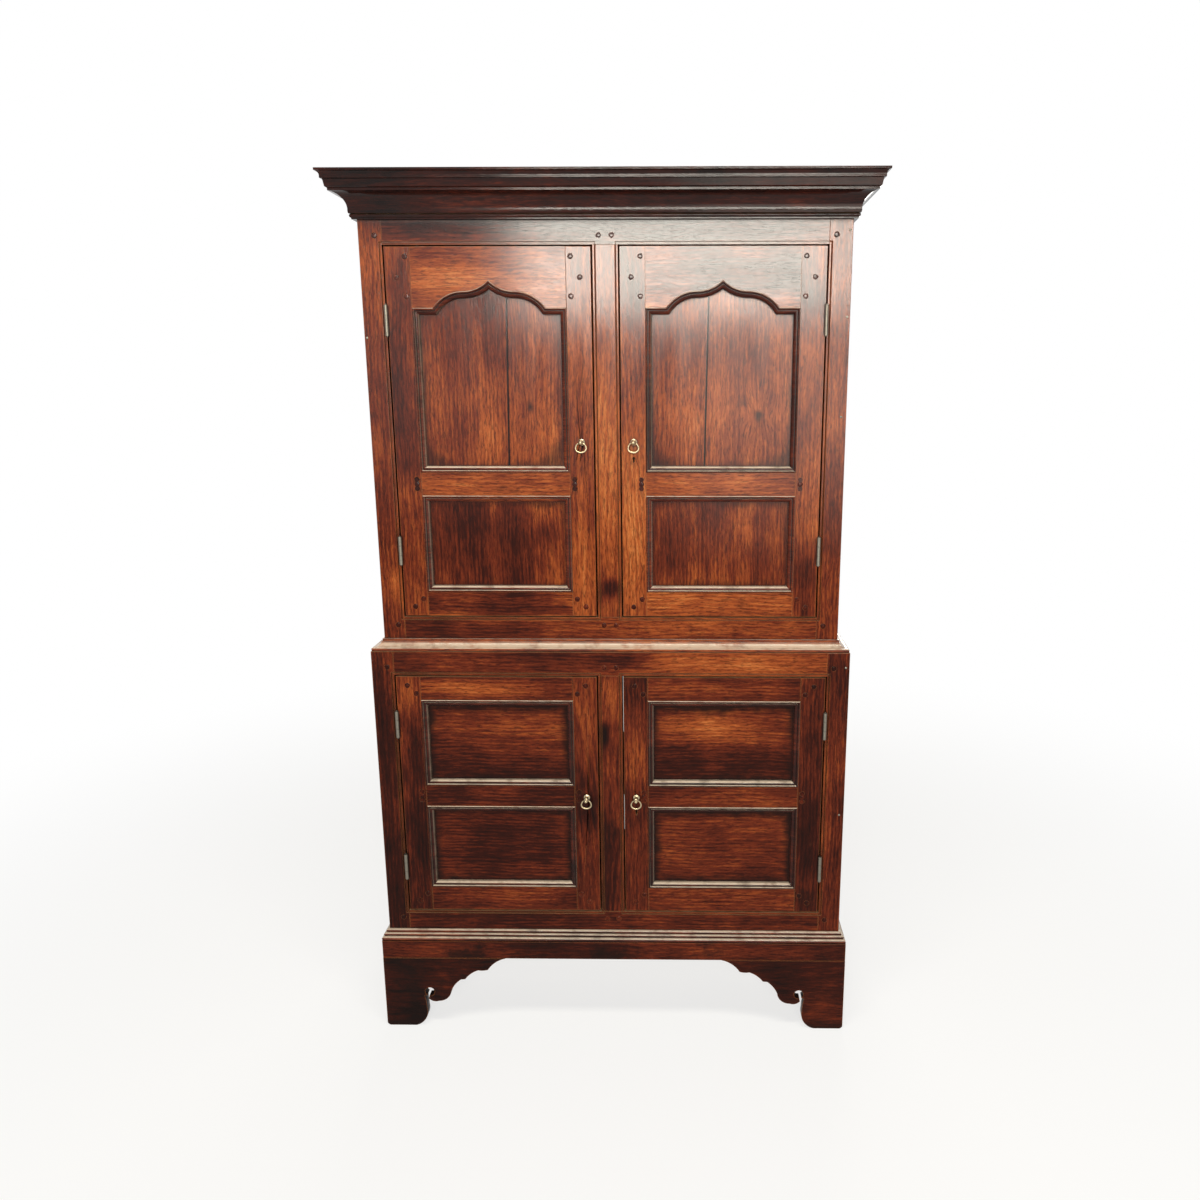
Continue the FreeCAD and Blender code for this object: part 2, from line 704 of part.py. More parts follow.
hinge_plates = []
for stage, at in stages.items():
    front = at["front"]
    opening_inner = f"({at['muntin']} / 2)"
    opening_outer = f"({at['half']} - {at['stile']})"
    door_inner = f"({opening_inner} + door_gap)"
    door_outer = f"({opening_outer} - door_gap)"
    door_low = f"({at['sill']} + door_gap)"
    door_height = f"({at['opening']} - 2 * door_gap)"
    stile = f"{stage}_door_stile"
    door_tenon = f"({stile} - door_tenon_cover)"
    rail_inner = f"({door_inner} + {stile})"
    rail_outer = f"({door_outer} - {stile})"
    panel_half = f"(({rail_outer} - {rail_inner}) / 2)"
    low_panel_low = f"({door_low} + {stage}_door_bottom_rail)"
    low_panel_height = f"{stage}_door_low_panel"
    mid_low = f"({low_panel_low} + {low_panel_height})"
    high_panel_low = f"({mid_low} + {stage}_door_mid_rail)"
    top_low = f"({door_low} + {door_height} - {stage}_door_top_rail)"
    high_panel_height = f"({top_low} - {high_panel_low})"
    arched = stage == "upper"
    rails = {
        "bottom": (door_low, f"{stage}_door_bottom_rail"),
        "mid": (mid_low, f"{stage}_door_mid_rail"),
        "top": (top_low, f"{stage}_door_top_rail"),
    }
    openings = {
        "low": (low_panel_low, low_panel_height, False),
        "high": (high_panel_low, high_panel_height, arched),
    }
    for hand, side in sides.items():
        door = f"{stage}_{hand}_door"
        centre = f"{side} * ({rail_inner} + {rail_outer}) / 2"
        stile_spans = {"lock": (door_inner, rail_inner), "hinge": (rail_outer, door_outer)}
        stile_cuts = {"lock": [], "hinge": []}
        rail_cuts = {rail: [] for rail in rails}
        rail_joins = {rail: [] for rail in rails}
        door_pegs = []
        for rail, (low, height) in rails.items():
            tenon_height = f"({height} - 2 * tenon_shoulder)"
            for edge in stile_spans:
                if edge == "lock":
                    tenon_x = span(side, f"{rail_inner} - {door_tenon}", rail_inner)
                    joint_line = f"{rail_inner} -"
                else:
                    tenon_x = span(side, rail_outer, f"{rail_outer} + {door_tenon}")
                    joint_line = f"{rail_outer} +"
                tongue = tenon(f"{door}_{rail}_{edge}_tenon", front, tenon_x, f"{low} + tenon_shoulder",
                               door_tenon, tenon_height)
                rail_joins[rail].append(tongue)
                stile_cuts[edge].append(tongue)
                for index, (offset, up_share) in enumerate(door_peg_shares[f"{stage}_{rail}"]):
                    pin = peg(f"{door}_{rail}_{edge}_peg_{index}", f"{side} * ({joint_line} {offset})", front,
                              f"{low} + {up_share} * {height}")
                    door_pegs.append(pin)
                    rail_cuts[rail].append(pin)
                    stile_cuts[edge].append(pin)
        keep(f"{door}_pegs", gather(f"{door}_pegs_group", door_pegs))
        panels = []
        mouldings = []
        for level, (low, height, ogee) in openings.items():
            groove = slab(f"{door}_{level}_groove", panel_half, height, "groove_depth", ogee, centre,
                          f"{front} + panel_setback", low, "panel_thickness")
            for member in stile_cuts.values():
                member.append(groove)
            for rail in (("bottom", "mid") if level == "low" else ("mid", "top")):
                rail_cuts[rail].append(groove)
            panel = slab(f"{door}_{level}_panel", panel_half, height, "groove_depth - panel_play", ogee,
                         centre,
                         f"{front} + panel_setback", low, "panel_thickness")
            if ogee:
                joint_x = f"({centre} - {side} * {joint_share} * {panel_half})"
                panel = two_boards(f"{door}_{level}_panel", panel, joint_x, f"{front} + panel_setback", low,
                                   height)
            panels.append(panel)
            mouldings.append(panel_moulding(f"{door}_{level}_moulding", panel_half, height, ogee, centre,
                                            front,
                                            low))
        if arched:
            rail_cuts["top"].append(slab(f"{door}_head", panel_half, high_panel_height, "0", True, centre,
                                         f"{front} - overrun", high_panel_low,
                                         "door_thickness + 2 * overrun"))
        keep(f"{door}_panels", gather(f"{door}_panels_group", panels))
        keep(f"{door}_mouldings", gather(f"{door}_mouldings_group", mouldings))
        handle_x = f"{side} * ({door_inner} + {stile} / 2)"
        handle_z = f"({door_low} + {stage}_handle_height)"
        through = "(door_thickness + 2 * overrun)"
        before = f"({front} - overrun)"
        shank_bore = cylinder(f"{door}_shank_bore", "shank_radius + shank_play", through, handle_x, before,
                              handle_z, "y")
        stile_cuts["lock"].append(shank_bore)
        rail_cuts["mid"].append(shank_bore)
        if side > 0:
            key_z = f"({handle_z} - keyhole_drop)"
            stile_cuts["lock"].append(cylinder(f"{door}_keyhole_eye", "keyhole_radius", through, handle_x,
                                               before,
                                               key_z, "y"))
            stile_cuts["lock"].append(box(f"{door}_keyhole_slot", "keyhole_slot_width", through,
                                          "keyhole_slot",
                                          f"{handle_x} - keyhole_slot_width / 2", before,
                                          f"{key_z} - keyhole_slot"))
            keep(f"{door}_lock", lock_case(f"{door}_lock", handle_x, f"{front} + door_thickness", key_z))
        stiles = []
        for edge, (near, far) in stile_spans.items():
            blank = box(f"{door}_{edge}_stile_blank", stile, "door_thickness", door_height,
                        span(side, near, far),
                        front, door_low)
            stiles.append(cut(f"{door}_{edge}_stile", blank, stile_cuts[edge]))
        keep(f"{door}_stiles", gather(f"{door}_stiles_group", stiles))
        bars = []
        for rail, (low, height) in rails.items():
            blank = box(f"{door}_{rail}_rail_blank", f"2 * {panel_half}", "door_thickness", height,
                        span(side, rail_inner, rail_outer), front, low)
            whole = fuse(f"{door}_{rail}_rail_whole", [blank] + rail_joins[rail])
            bars.append(cut(f"{door}_{rail}_rail", whole, rail_cuts[rail]))
        keep(f"{door}_rails", gather(f"{door}_rails_group", bars))

        # Butt hinges: the two leaves lie in the gap, the knuckles stand proud of the front
        axis_x = f"{side} * ({opening_outer} - door_gap / 2)"
        axis_y = f"({front} - knuckle_radius)"
        knuckle = "((hinge_length - 2 * knuckle_gap) / 3)"
        inset = f"{stage}_hinge_inset"
        door_halves = []
        hinge_levels = {"low": f"({door_low} + {inset})", "high": f"({door_low} + {door_height} - {inset})"}
        for end, middle in hinge_levels.items():
            name = f"{door}_{end}_hinge"
            low = f"({middle} - hinge_length / 2)"
            leaf_y = f"({front} + leaf_play)"
            tongue_depth = "(knuckle_radius + leaf_play)"
            mid_knuckle = f"({low} + {knuckle} + knuckle_gap)"
            fixed_x = span(side, f"{opening_outer} - leaf_thickness", opening_outer)
            moving_x = span(side, door_outer, f"{door_outer} + leaf_thickness")
            hinge_plates.append(fuse(f"{name}_fixed", [
                box(f"{name}_fixed_leaf", "leaf_thickness", "leaf_depth", "hinge_length", fixed_x, leaf_y,
                    low),
                box(f"{name}_fixed_tongue", "leaf_thickness", tongue_depth, knuckle, fixed_x, axis_y,
                    mid_knuckle),
                cylinder(f"{name}_fixed_knuckle", "knuckle_radius", knuckle, axis_x, axis_y, mid_knuckle),
                cylinder(f"{name}_pin", "pin_radius", "hinge_length + 2 * pin_tip", axis_x, axis_y,
                         f"{low} - pin_tip"),
            ]))
            parts = [box(f"{name}_moving_leaf", "leaf_thickness", "leaf_depth", "hinge_length", moving_x,
                         leaf_y,
                         low)]
            for end_name, start in (("first", low), ("last", f"({low} + hinge_length - {knuckle})")):
                parts.append(box(f"{name}_{end_name}_tongue", "leaf_thickness", tongue_depth, knuckle,
                                 moving_x,
                                 axis_y, start))
                parts.append(cylinder(f"{name}_{end_name}_knuckle", "knuckle_radius", knuckle, axis_x, axis_y,
                                      start))
            bore = cylinder(f"{name}_bore", "pin_radius + pin_play", "hinge_length + 2 * overrun", axis_x,
                            axis_y,
                            f"{low} - overrun")
            door_halves.append(cut(f"{name}_moving", fuse(f"{name}_moving_whole", parts), [bore]))
        keep(f"{door}_hinges", gather(f"{door}_hinges_group", door_halves))

        # Handle: rosette, neck, drilled ball and finial on a shank that is riveted over a rove behind the
        # stile, with a drop ring through the ball
        ball_y = f"({front} - ball_reach)"
        rove_y = f"({front} + door_thickness)"
        tail = "(door_thickness + rove_thickness)"
        post = fuse(f"{door}_handle_whole", [
            cylinder(f"{door}_rosette", "rosette_radius", "rosette_thickness", handle_x,
                     f"{front} - rosette_thickness", handle_z, "y"),
            cylinder(f"{door}_neck", "neck_radius", "ball_reach", handle_x, ball_y, handle_z, "y"),
            ball(f"{door}_ball", "ball_radius", handle_x, ball_y, handle_z),
            ball(f"{door}_finial", "finial_radius", handle_x,
                 f"{ball_y} - ball_radius - finial_radius + finial_sink", handle_z),
            cylinder(f"{door}_shank", "shank_radius", tail, handle_x, front, handle_z, "y"),
            cylinder(f"{door}_rivet", "rivet_radius", "rivet_thickness", handle_x, f"{front} + {tail}",
                     handle_z, "y"),
        ])
        ring_bore = cylinder(f"{door}_ring_bore", "ring_wire + ring_play", "2 * (ball_radius + overrun)",
                             f"{handle_x} - ball_radius - overrun", ball_y, handle_z, "x")
        rove_blank = cylinder(f"{door}_rove_blank", "rove_radius", "rove_thickness", handle_x, rove_y,
                              handle_z, "y")
        rove_bore = cylinder(f"{door}_rove_bore", "shank_radius + shank_play",
                             "rove_thickness + 2 * overrun", handle_x,
                             f"{rove_y} - overrun", handle_z, "y")
        keep(f"{door}_handle", gather(f"{door}_handle_group", [
            cut(f"{door}_handle_body", post, [ring_bore]),
            cut(f"{door}_rove", rove_blank, [rove_bore]),
        ]))
        lean = "acos(ring_half / ring_radius)"
        loop = doc.addObject("Part::Torus", f"{door}_ring_loop")
        drive(loop, "Radius1", "ring_radius")
        drive(loop, "Radius2", "ring_wire")
        drive(loop, "Angle3", f"180 deg + 2 * {lean}")
        drive(loop, "Placement.Rotation.Angle", f"180 deg - {lean}")
        place(loop, "0", "-sqrt(ring_radius^2 - ring_half^2)", "0")
        ring_parts = [loop, cylinder(f"{door}_ring_bar", "ring_wire", "2 * ring_half", "-ring_half", "0",
                                     "0", "x")]
        for hand_name, way in sides.items():
            ring_parts.append(ball(f"{door}_ring_{hand_name}_end", "ring_wire", f"{way} * ring_half", "0",
                                   "0"))
        ring = turned(fuse(f"{door}_ring_whole", ring_parts), (1, 0, 0), 90)
        place(ring, handle_x, ball_y, handle_z)
        keep(f"{door}_ring", ring)
keep("hinge_plates", gather("hinge_plates_group", hinge_plates))

doc.recompute()
failed = [item.Name for item in doc.Objects if "Invalid" in item.State or "Error" in item.State]
for label, item in pieces.items():
    if item.Shape.isNull() or not item.Shape.isValid():
        failed.append(label)
if failed:
    raise RuntimeError("failed: " + ", ".join(failed))
os.makedirs("parts", exist_ok=True)
for label, item in pieces.items():
    item.Shape.exportStep(f"parts/{label}.step")
print(f"{len(pieces)} pieces written")
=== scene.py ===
import math
import bpy
import numpy as np
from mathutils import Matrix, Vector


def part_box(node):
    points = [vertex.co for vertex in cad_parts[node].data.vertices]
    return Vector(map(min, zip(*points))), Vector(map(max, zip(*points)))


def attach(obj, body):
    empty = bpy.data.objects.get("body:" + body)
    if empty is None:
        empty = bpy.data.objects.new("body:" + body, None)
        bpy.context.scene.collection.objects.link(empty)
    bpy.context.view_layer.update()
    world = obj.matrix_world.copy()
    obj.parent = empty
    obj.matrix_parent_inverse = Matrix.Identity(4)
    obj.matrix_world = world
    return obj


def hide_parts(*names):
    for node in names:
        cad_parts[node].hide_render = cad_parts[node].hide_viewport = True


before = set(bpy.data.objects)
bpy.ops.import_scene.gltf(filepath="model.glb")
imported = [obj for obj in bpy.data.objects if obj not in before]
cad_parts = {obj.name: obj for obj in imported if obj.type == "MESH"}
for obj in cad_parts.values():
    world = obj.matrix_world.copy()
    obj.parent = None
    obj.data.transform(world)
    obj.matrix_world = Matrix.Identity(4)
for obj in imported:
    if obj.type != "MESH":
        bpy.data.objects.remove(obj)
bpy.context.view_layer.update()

print("frame loaded", len(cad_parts), "nodes")


# small helpers for node trees

def newNode(tree, kind, inputs=None, **settings):
    made = tree.nodes.new(kind)
    for key, value in settings.items():
        setattr(made, key, value)
    for key, value in (inputs or {}).items():
        socket = made.inputs[key]
        if isinstance(value, bpy.types.NodeSocket):
            tree.links.new(value, socket)
        else:
            socket.default_value = value
    return made


def arith(tree, operation, first, second=0.0, third=0.0, clamp=False):  # one math step, returns its socket
    return newNode(tree, "ShaderNodeMath", {0: first, 1: second, 2: third}, operation=operation,
                   use_clamp=clamp).outputs[0]


def vectorArith(tree, operation, first, second=(0.0, 0.0, 0.0), third=(0.0, 0.0, 0.0)):
    made = newNode(tree, "ShaderNodeVectorMath", {0: first, 1: second, 2: third}, operation=operation)
    return made.outputs["Value" if operation in ("LENGTH", "DOT_PRODUCT") else "Vector"]


def separated(tree, vector):
    return newNode(tree, "ShaderNodeSeparateXYZ", {0: vector}).outputs


def joined(tree, first, second=0.0):
    return newNode(tree, "ShaderNodeCombineXYZ", {0: first, 1: second}).outputs[0]


def objectPlace(tree):
    return newNode(tree, "ShaderNodeTexCoord").outputs["Object"]


def mapped(tree, vector, location, scale=(1, 1, 1)):
    return newNode(tree, "ShaderNodeMapping", {"Vector": vector, "Location": location, "Scale": scale}).outputs[0]


def faceOffset(tree, place, middleX, middleZ, scaleX, scaleZ):  # way from a middle, in the plane of the front
    away = vectorArith(tree, "SUBTRACT", place, (middleX, 0.0, middleZ))
    return vectorArith(tree, "MULTIPLY", away, (scaleX, 0.0, scaleZ))


def ramp(tree, factor, stops):  # stops are (place, colour)
    made = newNode(tree, "ShaderNodeValToRGB", {"Fac": factor})
    line = made.color_ramp
    while len(line.elements) < len(stops):
        line.elements.new(0.5)
    for element, (place, colour) in zip(line.elements, stops):
        element.position = place
        element.color = (*colour, 1.0)
    return made.outputs["Color"]


def step(tree, factor, low, high, toLow=0.0, toHigh=1.0):  # smooth step from low to high
    return newNode(tree, "ShaderNodeMapRange", {"Value": factor, "From Min": low, "From Max": high,
                                                "To Min": toLow, "To Max": toHigh},
                   interpolation_type="SMOOTHSTEP").outputs[0]


def mixColour(tree, factor, first, second):
    made = newNode(tree, "ShaderNodeMix", data_type="RGBA")
    for place, value in ((0, factor), (6, first), (7, second)):
        if isinstance(value, bpy.types.NodeSocket):
            tree.links.new(value, made.inputs[place])
        else:
            made.inputs[place].default_value = value if place == 0 else (*value, 1.0)
    return made.outputs[2]


def noise(tree, vector, scale, detail=3.0, rough=0.55, twist=0.0):
    return newNode(tree, "ShaderNodeTexNoise", {"Vector": vector, "Scale": scale, "Detail": detail,
                                                "Roughness": rough, "Distortion": twist}).outputs["Fac"]


def hollows(tree, distance, samples):  # dark where other faces are near
    return newNode(tree, "ShaderNodeAmbientOcclusion", {"Distance": distance}, samples=samples).outputs["AO"]


def bumped(tree, shader, height, strength, distance):
    bump = newNode(tree, "ShaderNodeBump", {"Height": height, "Strength": strength, "Distance": distance})
    tree.links.new(bump.outputs[0], shader.inputs["Normal"])


def freshMaterial(name):
    made = bpy.data.materials.new(name)
    made.use_nodes = True
    tree = made.node_tree
    tree.nodes.clear()
    shader = newNode(tree, "ShaderNodeBsdfPrincipled")
    newNode(tree, "ShaderNodeOutputMaterial", {"Surface": shader.outputs[0]})
    return made, tree, shader


def dress(nodeName, made):  # the CAD node takes this material alone
    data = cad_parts[nodeName].data
    data.materials.clear()
    data.materials.append(made)


# polished oak
# noises are scale, detail, roughness, distortion; steps are low, high, value at low, value at high

oakSettings = {
    "stops": [(0.02, (0.0075, 0.0032, 0.0026)), (0.28, (0.036, 0.0066, 0.0036)),
              (0.5, (0.118, 0.0195, 0.0072)), (0.74, (0.29, 0.066, 0.0155)), (1.0, (0.5, 0.17, 0.045))],
    "pore": (0.012, 0.0042, 0.0032),
    "grimeAndShade": (0.0085, 0.0042, 0.0034),
    "alongShare": 0.09,  # how far the grain is drawn out along the board
    "flecksShare": 0.11,
    "seedShift": (1.37, 0.71, 2.13),
    "wanderScale": 2.6, "wanderDetail": 2.0, "wander": (0.03, 0.03, 0.03),
    "figure": (19.0, 5.0, 0.62, 0.7), "figureWeight": 0.5,
    "streak": (170.0, 5.0, 0.72), "streakWeight": 0.8,
    "patch": (4.2, 4.0, 0.6), "patchWeight": 0.75,
    "blotch": (7.0, 3.0, 0.6), "blotchWeight": 0.4,
    "middleTone": 0.5,
    "ragged": (34.0, 4.0, 0.6),
    "flecks": (290.0, 3.0, 0.6), "flecksStep": (0.56, 0.65, 0.0, 0.8),
    "pores": (520.0, 2.0, 0.6), "poresStep": (0.52, 0.62), "poresShare": 0.58,
}
ringSettings = {"spacing": 0.0085, "waver": 7.0, "weight": 0.045, "aside": 0.11, "asideTurn": 5.1,
                "lean": 0.075, "leanTurn": 3.3, "deep": 0.05}
knotSettings = {"swell": 0.8, "swellReach": 4.0, "swellFlat": 0.5, "flat": 0.7, "ragged": (60.0, 2.0),
                "raggedReach": 1.2, "core": 0.7, "reach": 2.0, "dark": 0.85}
spillSettings = {"noise": (6.5, 5.0, 0.65), "low": 0.66, "lowByStain": 0.15, "high": 0.76, "highByStain": 0.12,
                 "share": 0.3, "shareByStain": 0.55}
edgeSettings = {"colour": (0.3, 0.105, 0.034), "radius": 0.0035, "samples": 4, "ragged": 0.14,
                "step": (0.97, 1.05, 0.5, 0.0)}
# painted shade and grime in corners and crevices, darker where other faces are near
grimeAndShadeSettings = {"distance": 0.035, "samples": 6, "ragged": 0.3, "step": (0.55, 1.0, 0.92, 0.0), "dulls": 0.25}
# dust and a painted highlight: lighter colour on surfaces that face up
dustAndHighlightSettings = {"colour": (0.4, 0.25, 0.14), "upStep": (0.45, 0.95), "raggedStep": (0.28, 0.6, 0.35, 1.0),
                "dulls": 0.5}
# painted highlight: pale colour on the runs of mouldings that face up, and a little on those that face right,
# where the light would catch them
paintedHighlightSettings = {"colour": (0.58, 0.47, 0.36), "upStep": (0.3, 0.7), "sideStep": (0.45, 0.9, 0.0, 0.28),
               "raggedStep": (0.3, 0.55, 0.5, 1.0)}
# polish: waxed more towards the top, as heights, then shine below and above
sheenSettings = {"gloss": 0.14, "noise": (30.0, 3.0), "spread": 0.16, "polish": (1.15, 1.6, 0.07, 0.36),
                 "shineSpread": 0.1}
planedSettings = {"noise": (26.0, 2.0), "streak": 0.3, "pores": -0.2, "strength": 0.5, "distance": 0.00022}
# panels: painted shade and dirt towards each field's rim: distance in from the rim where it begins, where it is
# full, and how dark it gets
panelShadeAndDirt = {"upper": (0.03, 0.004, 0.6), "lower": (0.036, 0.01, 0.94), "ragged": 0.03, "patch": 0.05,
             "meanShift": 0.04}
panelJoint = {"x": 0.2169, "lean": 0.018, "shift": 0.0282, "step": (0.0011, 0.0029, 1.0, 0.0),
              "above": (1.33, 1.35)}
# golden and dark patches: middle x, middle z, reach in x, reach in z, change of tone
patchSettings = {"waver": 1.2, "inner": 1.4, "outer": 2.7}
tonePatches = {
    "upper_left_stile": [(-0.5, 1.3, 0.05, 0.7, -0.1)],
    "upper_rails": [(0.24, 1.0, 0.3, 0.05, 0.16), (-0.34, 1.0, 0.22, 0.05, -0.14),
                    (-0.4, 1.9, 0.2, 0.05, -0.1), (0.25, 1.88, 0.4, 0.06, -0.2)],
    "upper_muntin": [(0.0, 1.46, 0.05, 0.26, 0.26), (0.0, 1.2, 0.05, 0.12, 0.12),
                     (0.004, 1.105, 0.03, 0.022, -0.3), (0.0, 1.05, 0.04, 0.02, 0.15)],
    "lower_rails": [(0.3, 0.93, 0.3, 0.035, 0.3), (0.04, 0.935, 0.07, 0.02, -0.34),
                    (-0.36, 0.93, 0.14, 0.03, 0.12), (0.0, 0.27, 0.7, 0.05, -0.06)],
    "lower_muntin": [(0.0, 0.84, 0.03, 0.06, 0.18), (-0.018, 0.76, 0.014, 0.03, -0.45),
                     (0.0, 0.47, 0.05, 0.17, -0.16)],
    "lower_left_stile": [(-0.53, 0.6, 0.05, 0.5, -0.16)],
    "upper_left_door_rails": [(-0.34, 1.775, 0.12, 0.03, 0.2), (-0.25, 1.338, 0.22, 0.03, 0.05),
                              (-0.27, 1.06, 0.2, 0.03, -0.34)],
    "upper_left_door_stiles": [(-0.058, 1.2, 0.03, 0.16, 0.16), (-0.45, 1.6, 0.04, 0.3, -0.1)],
    "upper_right_door_stiles": [(0.057, 1.26, 0.04, 0.24, 0.24), (0.44, 1.1, 0.04, 0.1, -0.2),
                                (0.25, 1.78, 0.4, 0.1, -0.24)],
    "upper_right_door_rails": [(0.25, 1.338, 0.22, 0.03, 0.16), (0.22, 1.065, 0.2, 0.03, 0.02),
                               (0.25, 1.78, 0.3, 0.08, -0.3)],
    "upper_left_door_panels": [(-0.3, 1.45, 0.12, 0.12, 0.1), (-0.25, 1.2, 0.2, 0.13, -0.16)],
    "upper_right_door_panels": [(0.18, 1.5, 0.1, 0.12, 0.1), (0.25, 1.2, 0.2, 0.13, -0.12)],
    "lower_left_door_rails": [(-0.3, 0.872, 0.19, 0.02, 0.26), (-0.26, 0.34, 0.11, 0.025, 0.14)],
    "lower_left_door_stiles": [(-0.468, 0.85, 0.04, 0.07, 0.18), (-0.46, 0.54, 0.05, 0.26, -0.26),
                               (-0.058, 0.78, 0.03, 0.1, 0.16), (-0.058, 0.58, 0.03, 0.07, -0.26)],
    "lower_left_door_panels": [(-0.26, 0.72, 0.16, 0.08, -0.06), (-0.26, 0.47, 0.17, 0.12, -0.1)],
    "lower_right_door_panels": [(0.2, 0.78, 0.14, 0.03, 0.14), (0.28, 0.7, 0.14, 0.06, -0.08),
                                (0.3, 0.5, 0.1, 0.06, 0.03)],
    "lower_right_door_rails": [(0.2, 0.872, 0.16, 0.02, 0.12), (0.26, 0.605, 0.14, 0.02, 0.1),
                               (0.3, 0.34, 0.2, 0.04, 0.14)],
    "lower_right_door_stiles": [(0.466, 0.6, 0.05, 0.32, -0.2), (0.058, 0.7, 0.03, 0.12, 0.1)],
    "plinth": [(-0.4, 0.21, 0.12, 0.02, 0.12), (0.3, 0.212, 0.2, 0.02, 0.12), (-0.02, 0.2, 0.2, 0.03, -0.1)],
    "right_foot": [(0.5, 0.1, 0.06, 0.09, 0.14)],
    "left_foot": [(-0.5, 0.12, 0.08, 0.09, -0.1)],
}


def grainSwell(tree, place, bent, knots):  # the grain swells round a knot
    for knotX, knotZ, size in knots:
        flat = faceOffset(tree, place, knotX, knotZ, 1.0, knotSettings["swellFlat"])
        push = step(tree, vectorArith(tree, "LENGTH", flat), 0.0, size * knotSettings["swellReach"],
                    knotSettings["swell"], 0.0)
        bent = vectorArith(tree, "MULTIPLY_ADD", flat, joined(tree, push), bent)
    return bent


def growthRings(tree, bent, figure, grain, seed):  # cut on the flat: distance from a tilted heart line
    spot = separated(tree, bent)
    across, along = (spot[0], spot[2]) if grain == "z" else (spot[2], spot[0])
    aside = arith(tree, "ADD", across, ringSettings["aside"] * math.sin(seed * ringSettings["asideTurn"]))
    lean = ringSettings["lean"] * math.cos(seed * ringSettings["leanTurn"])
    deep = arith(tree, "MULTIPLY_ADD", along, lean, ringSettings["deep"])
    heart = vectorArith(tree, "LENGTH", joined(tree, aside, deep))
    turns = arith(tree, "MULTIPLY", heart, 2.0 * math.pi / ringSettings["spacing"])
    return arith(tree, "SINE", arith(tree, "MULTIPLY_ADD", figure, ringSettings["waver"], turns))


def knotCores(tree, place, shifted, colour, knots):
    for knotX, knotZ, size in knots:
        flat = faceOffset(tree, place, knotX, knotZ, 1.0, knotSettings["flat"])
        far = arith(tree, "MULTIPLY_ADD", noise(tree, shifted, *knotSettings["ragged"]),
                    size * knotSettings["raggedReach"], vectorArith(tree, "LENGTH", flat))
        core = step(tree, far, size * knotSettings["core"], size * knotSettings["reach"],
                    knotSettings["dark"], 0.0)
        colour = mixColour(tree, core, colour, oakSettings["grimeAndShade"])
    return colour


def panelRim(tree, place, panels):  # distance out from the nearest panel's rim, each a box with rounded corners
    nearest = None
    for middleX, middleZ, halfX, halfZ, corner in panels:
        away = vectorArith(tree, "ABSOLUTE", vectorArith(tree, "SUBTRACT", place, (middleX, 0.0, middleZ)))
        past = vectorArith(tree, "SUBTRACT", away, (halfX - corner, 1.0, halfZ - corner))
        outside = vectorArith(tree, "LENGTH", vectorArith(tree, "MAXIMUM", past, (0.0, 0.0, 0.0)))
        split = separated(tree, past)
        inside = arith(tree, "MINIMUM", arith(tree, "MAXIMUM", split[0], split[2]), 0.0)
        rim = arith(tree, "SUBTRACT", arith(tree, "ADD", outside, inside), corner)
        nearest = rim if nearest is None else arith(tree, "MINIMUM", nearest, rim)
    return nearest


def rimShadeAndDirt(tree, name, place, ragged, patch, panels):  # painted shade and dirt, darker towards the rim of each panel's field
    rim = arith(tree, "MULTIPLY_ADD", ragged, panelShadeAndDirt["ragged"], panelRim(tree, place, panels))
    rim = arith(tree, "MULTIPLY_ADD", patch, panelShadeAndDirt["patch"], rim)
    stage = name.split("_")[0]
    begin, full, strength = panelShadeAndDirt[stage]
    dirtAndShade = step(tree, rim, panelShadeAndDirt["meanShift"] - begin, panelShadeAndDirt["meanShift"] - full, 0.0, strength)
    if stage == "upper":  # dark open joint between the two boards of the arched panel
        spot = separated(tree, place)
        side = -1.0 if "left" in name else 1.0
        line = arith(tree, "MULTIPLY_ADD", spot[2], -panelJoint["lean"], spot[0])
        line = arith(tree, "SUBTRACT", line, side * panelJoint["x"] - panelJoint["shift"])
        line = step(tree, arith(tree, "ABSOLUTE", line), *panelJoint["step"])
        line = arith(tree, "MULTIPLY", line, step(tree, spot[2], *panelJoint["above"]))
        dirtAndShade = arith(tree, "MAXIMUM", dirtAndShade, line)
    return dirtAndShade


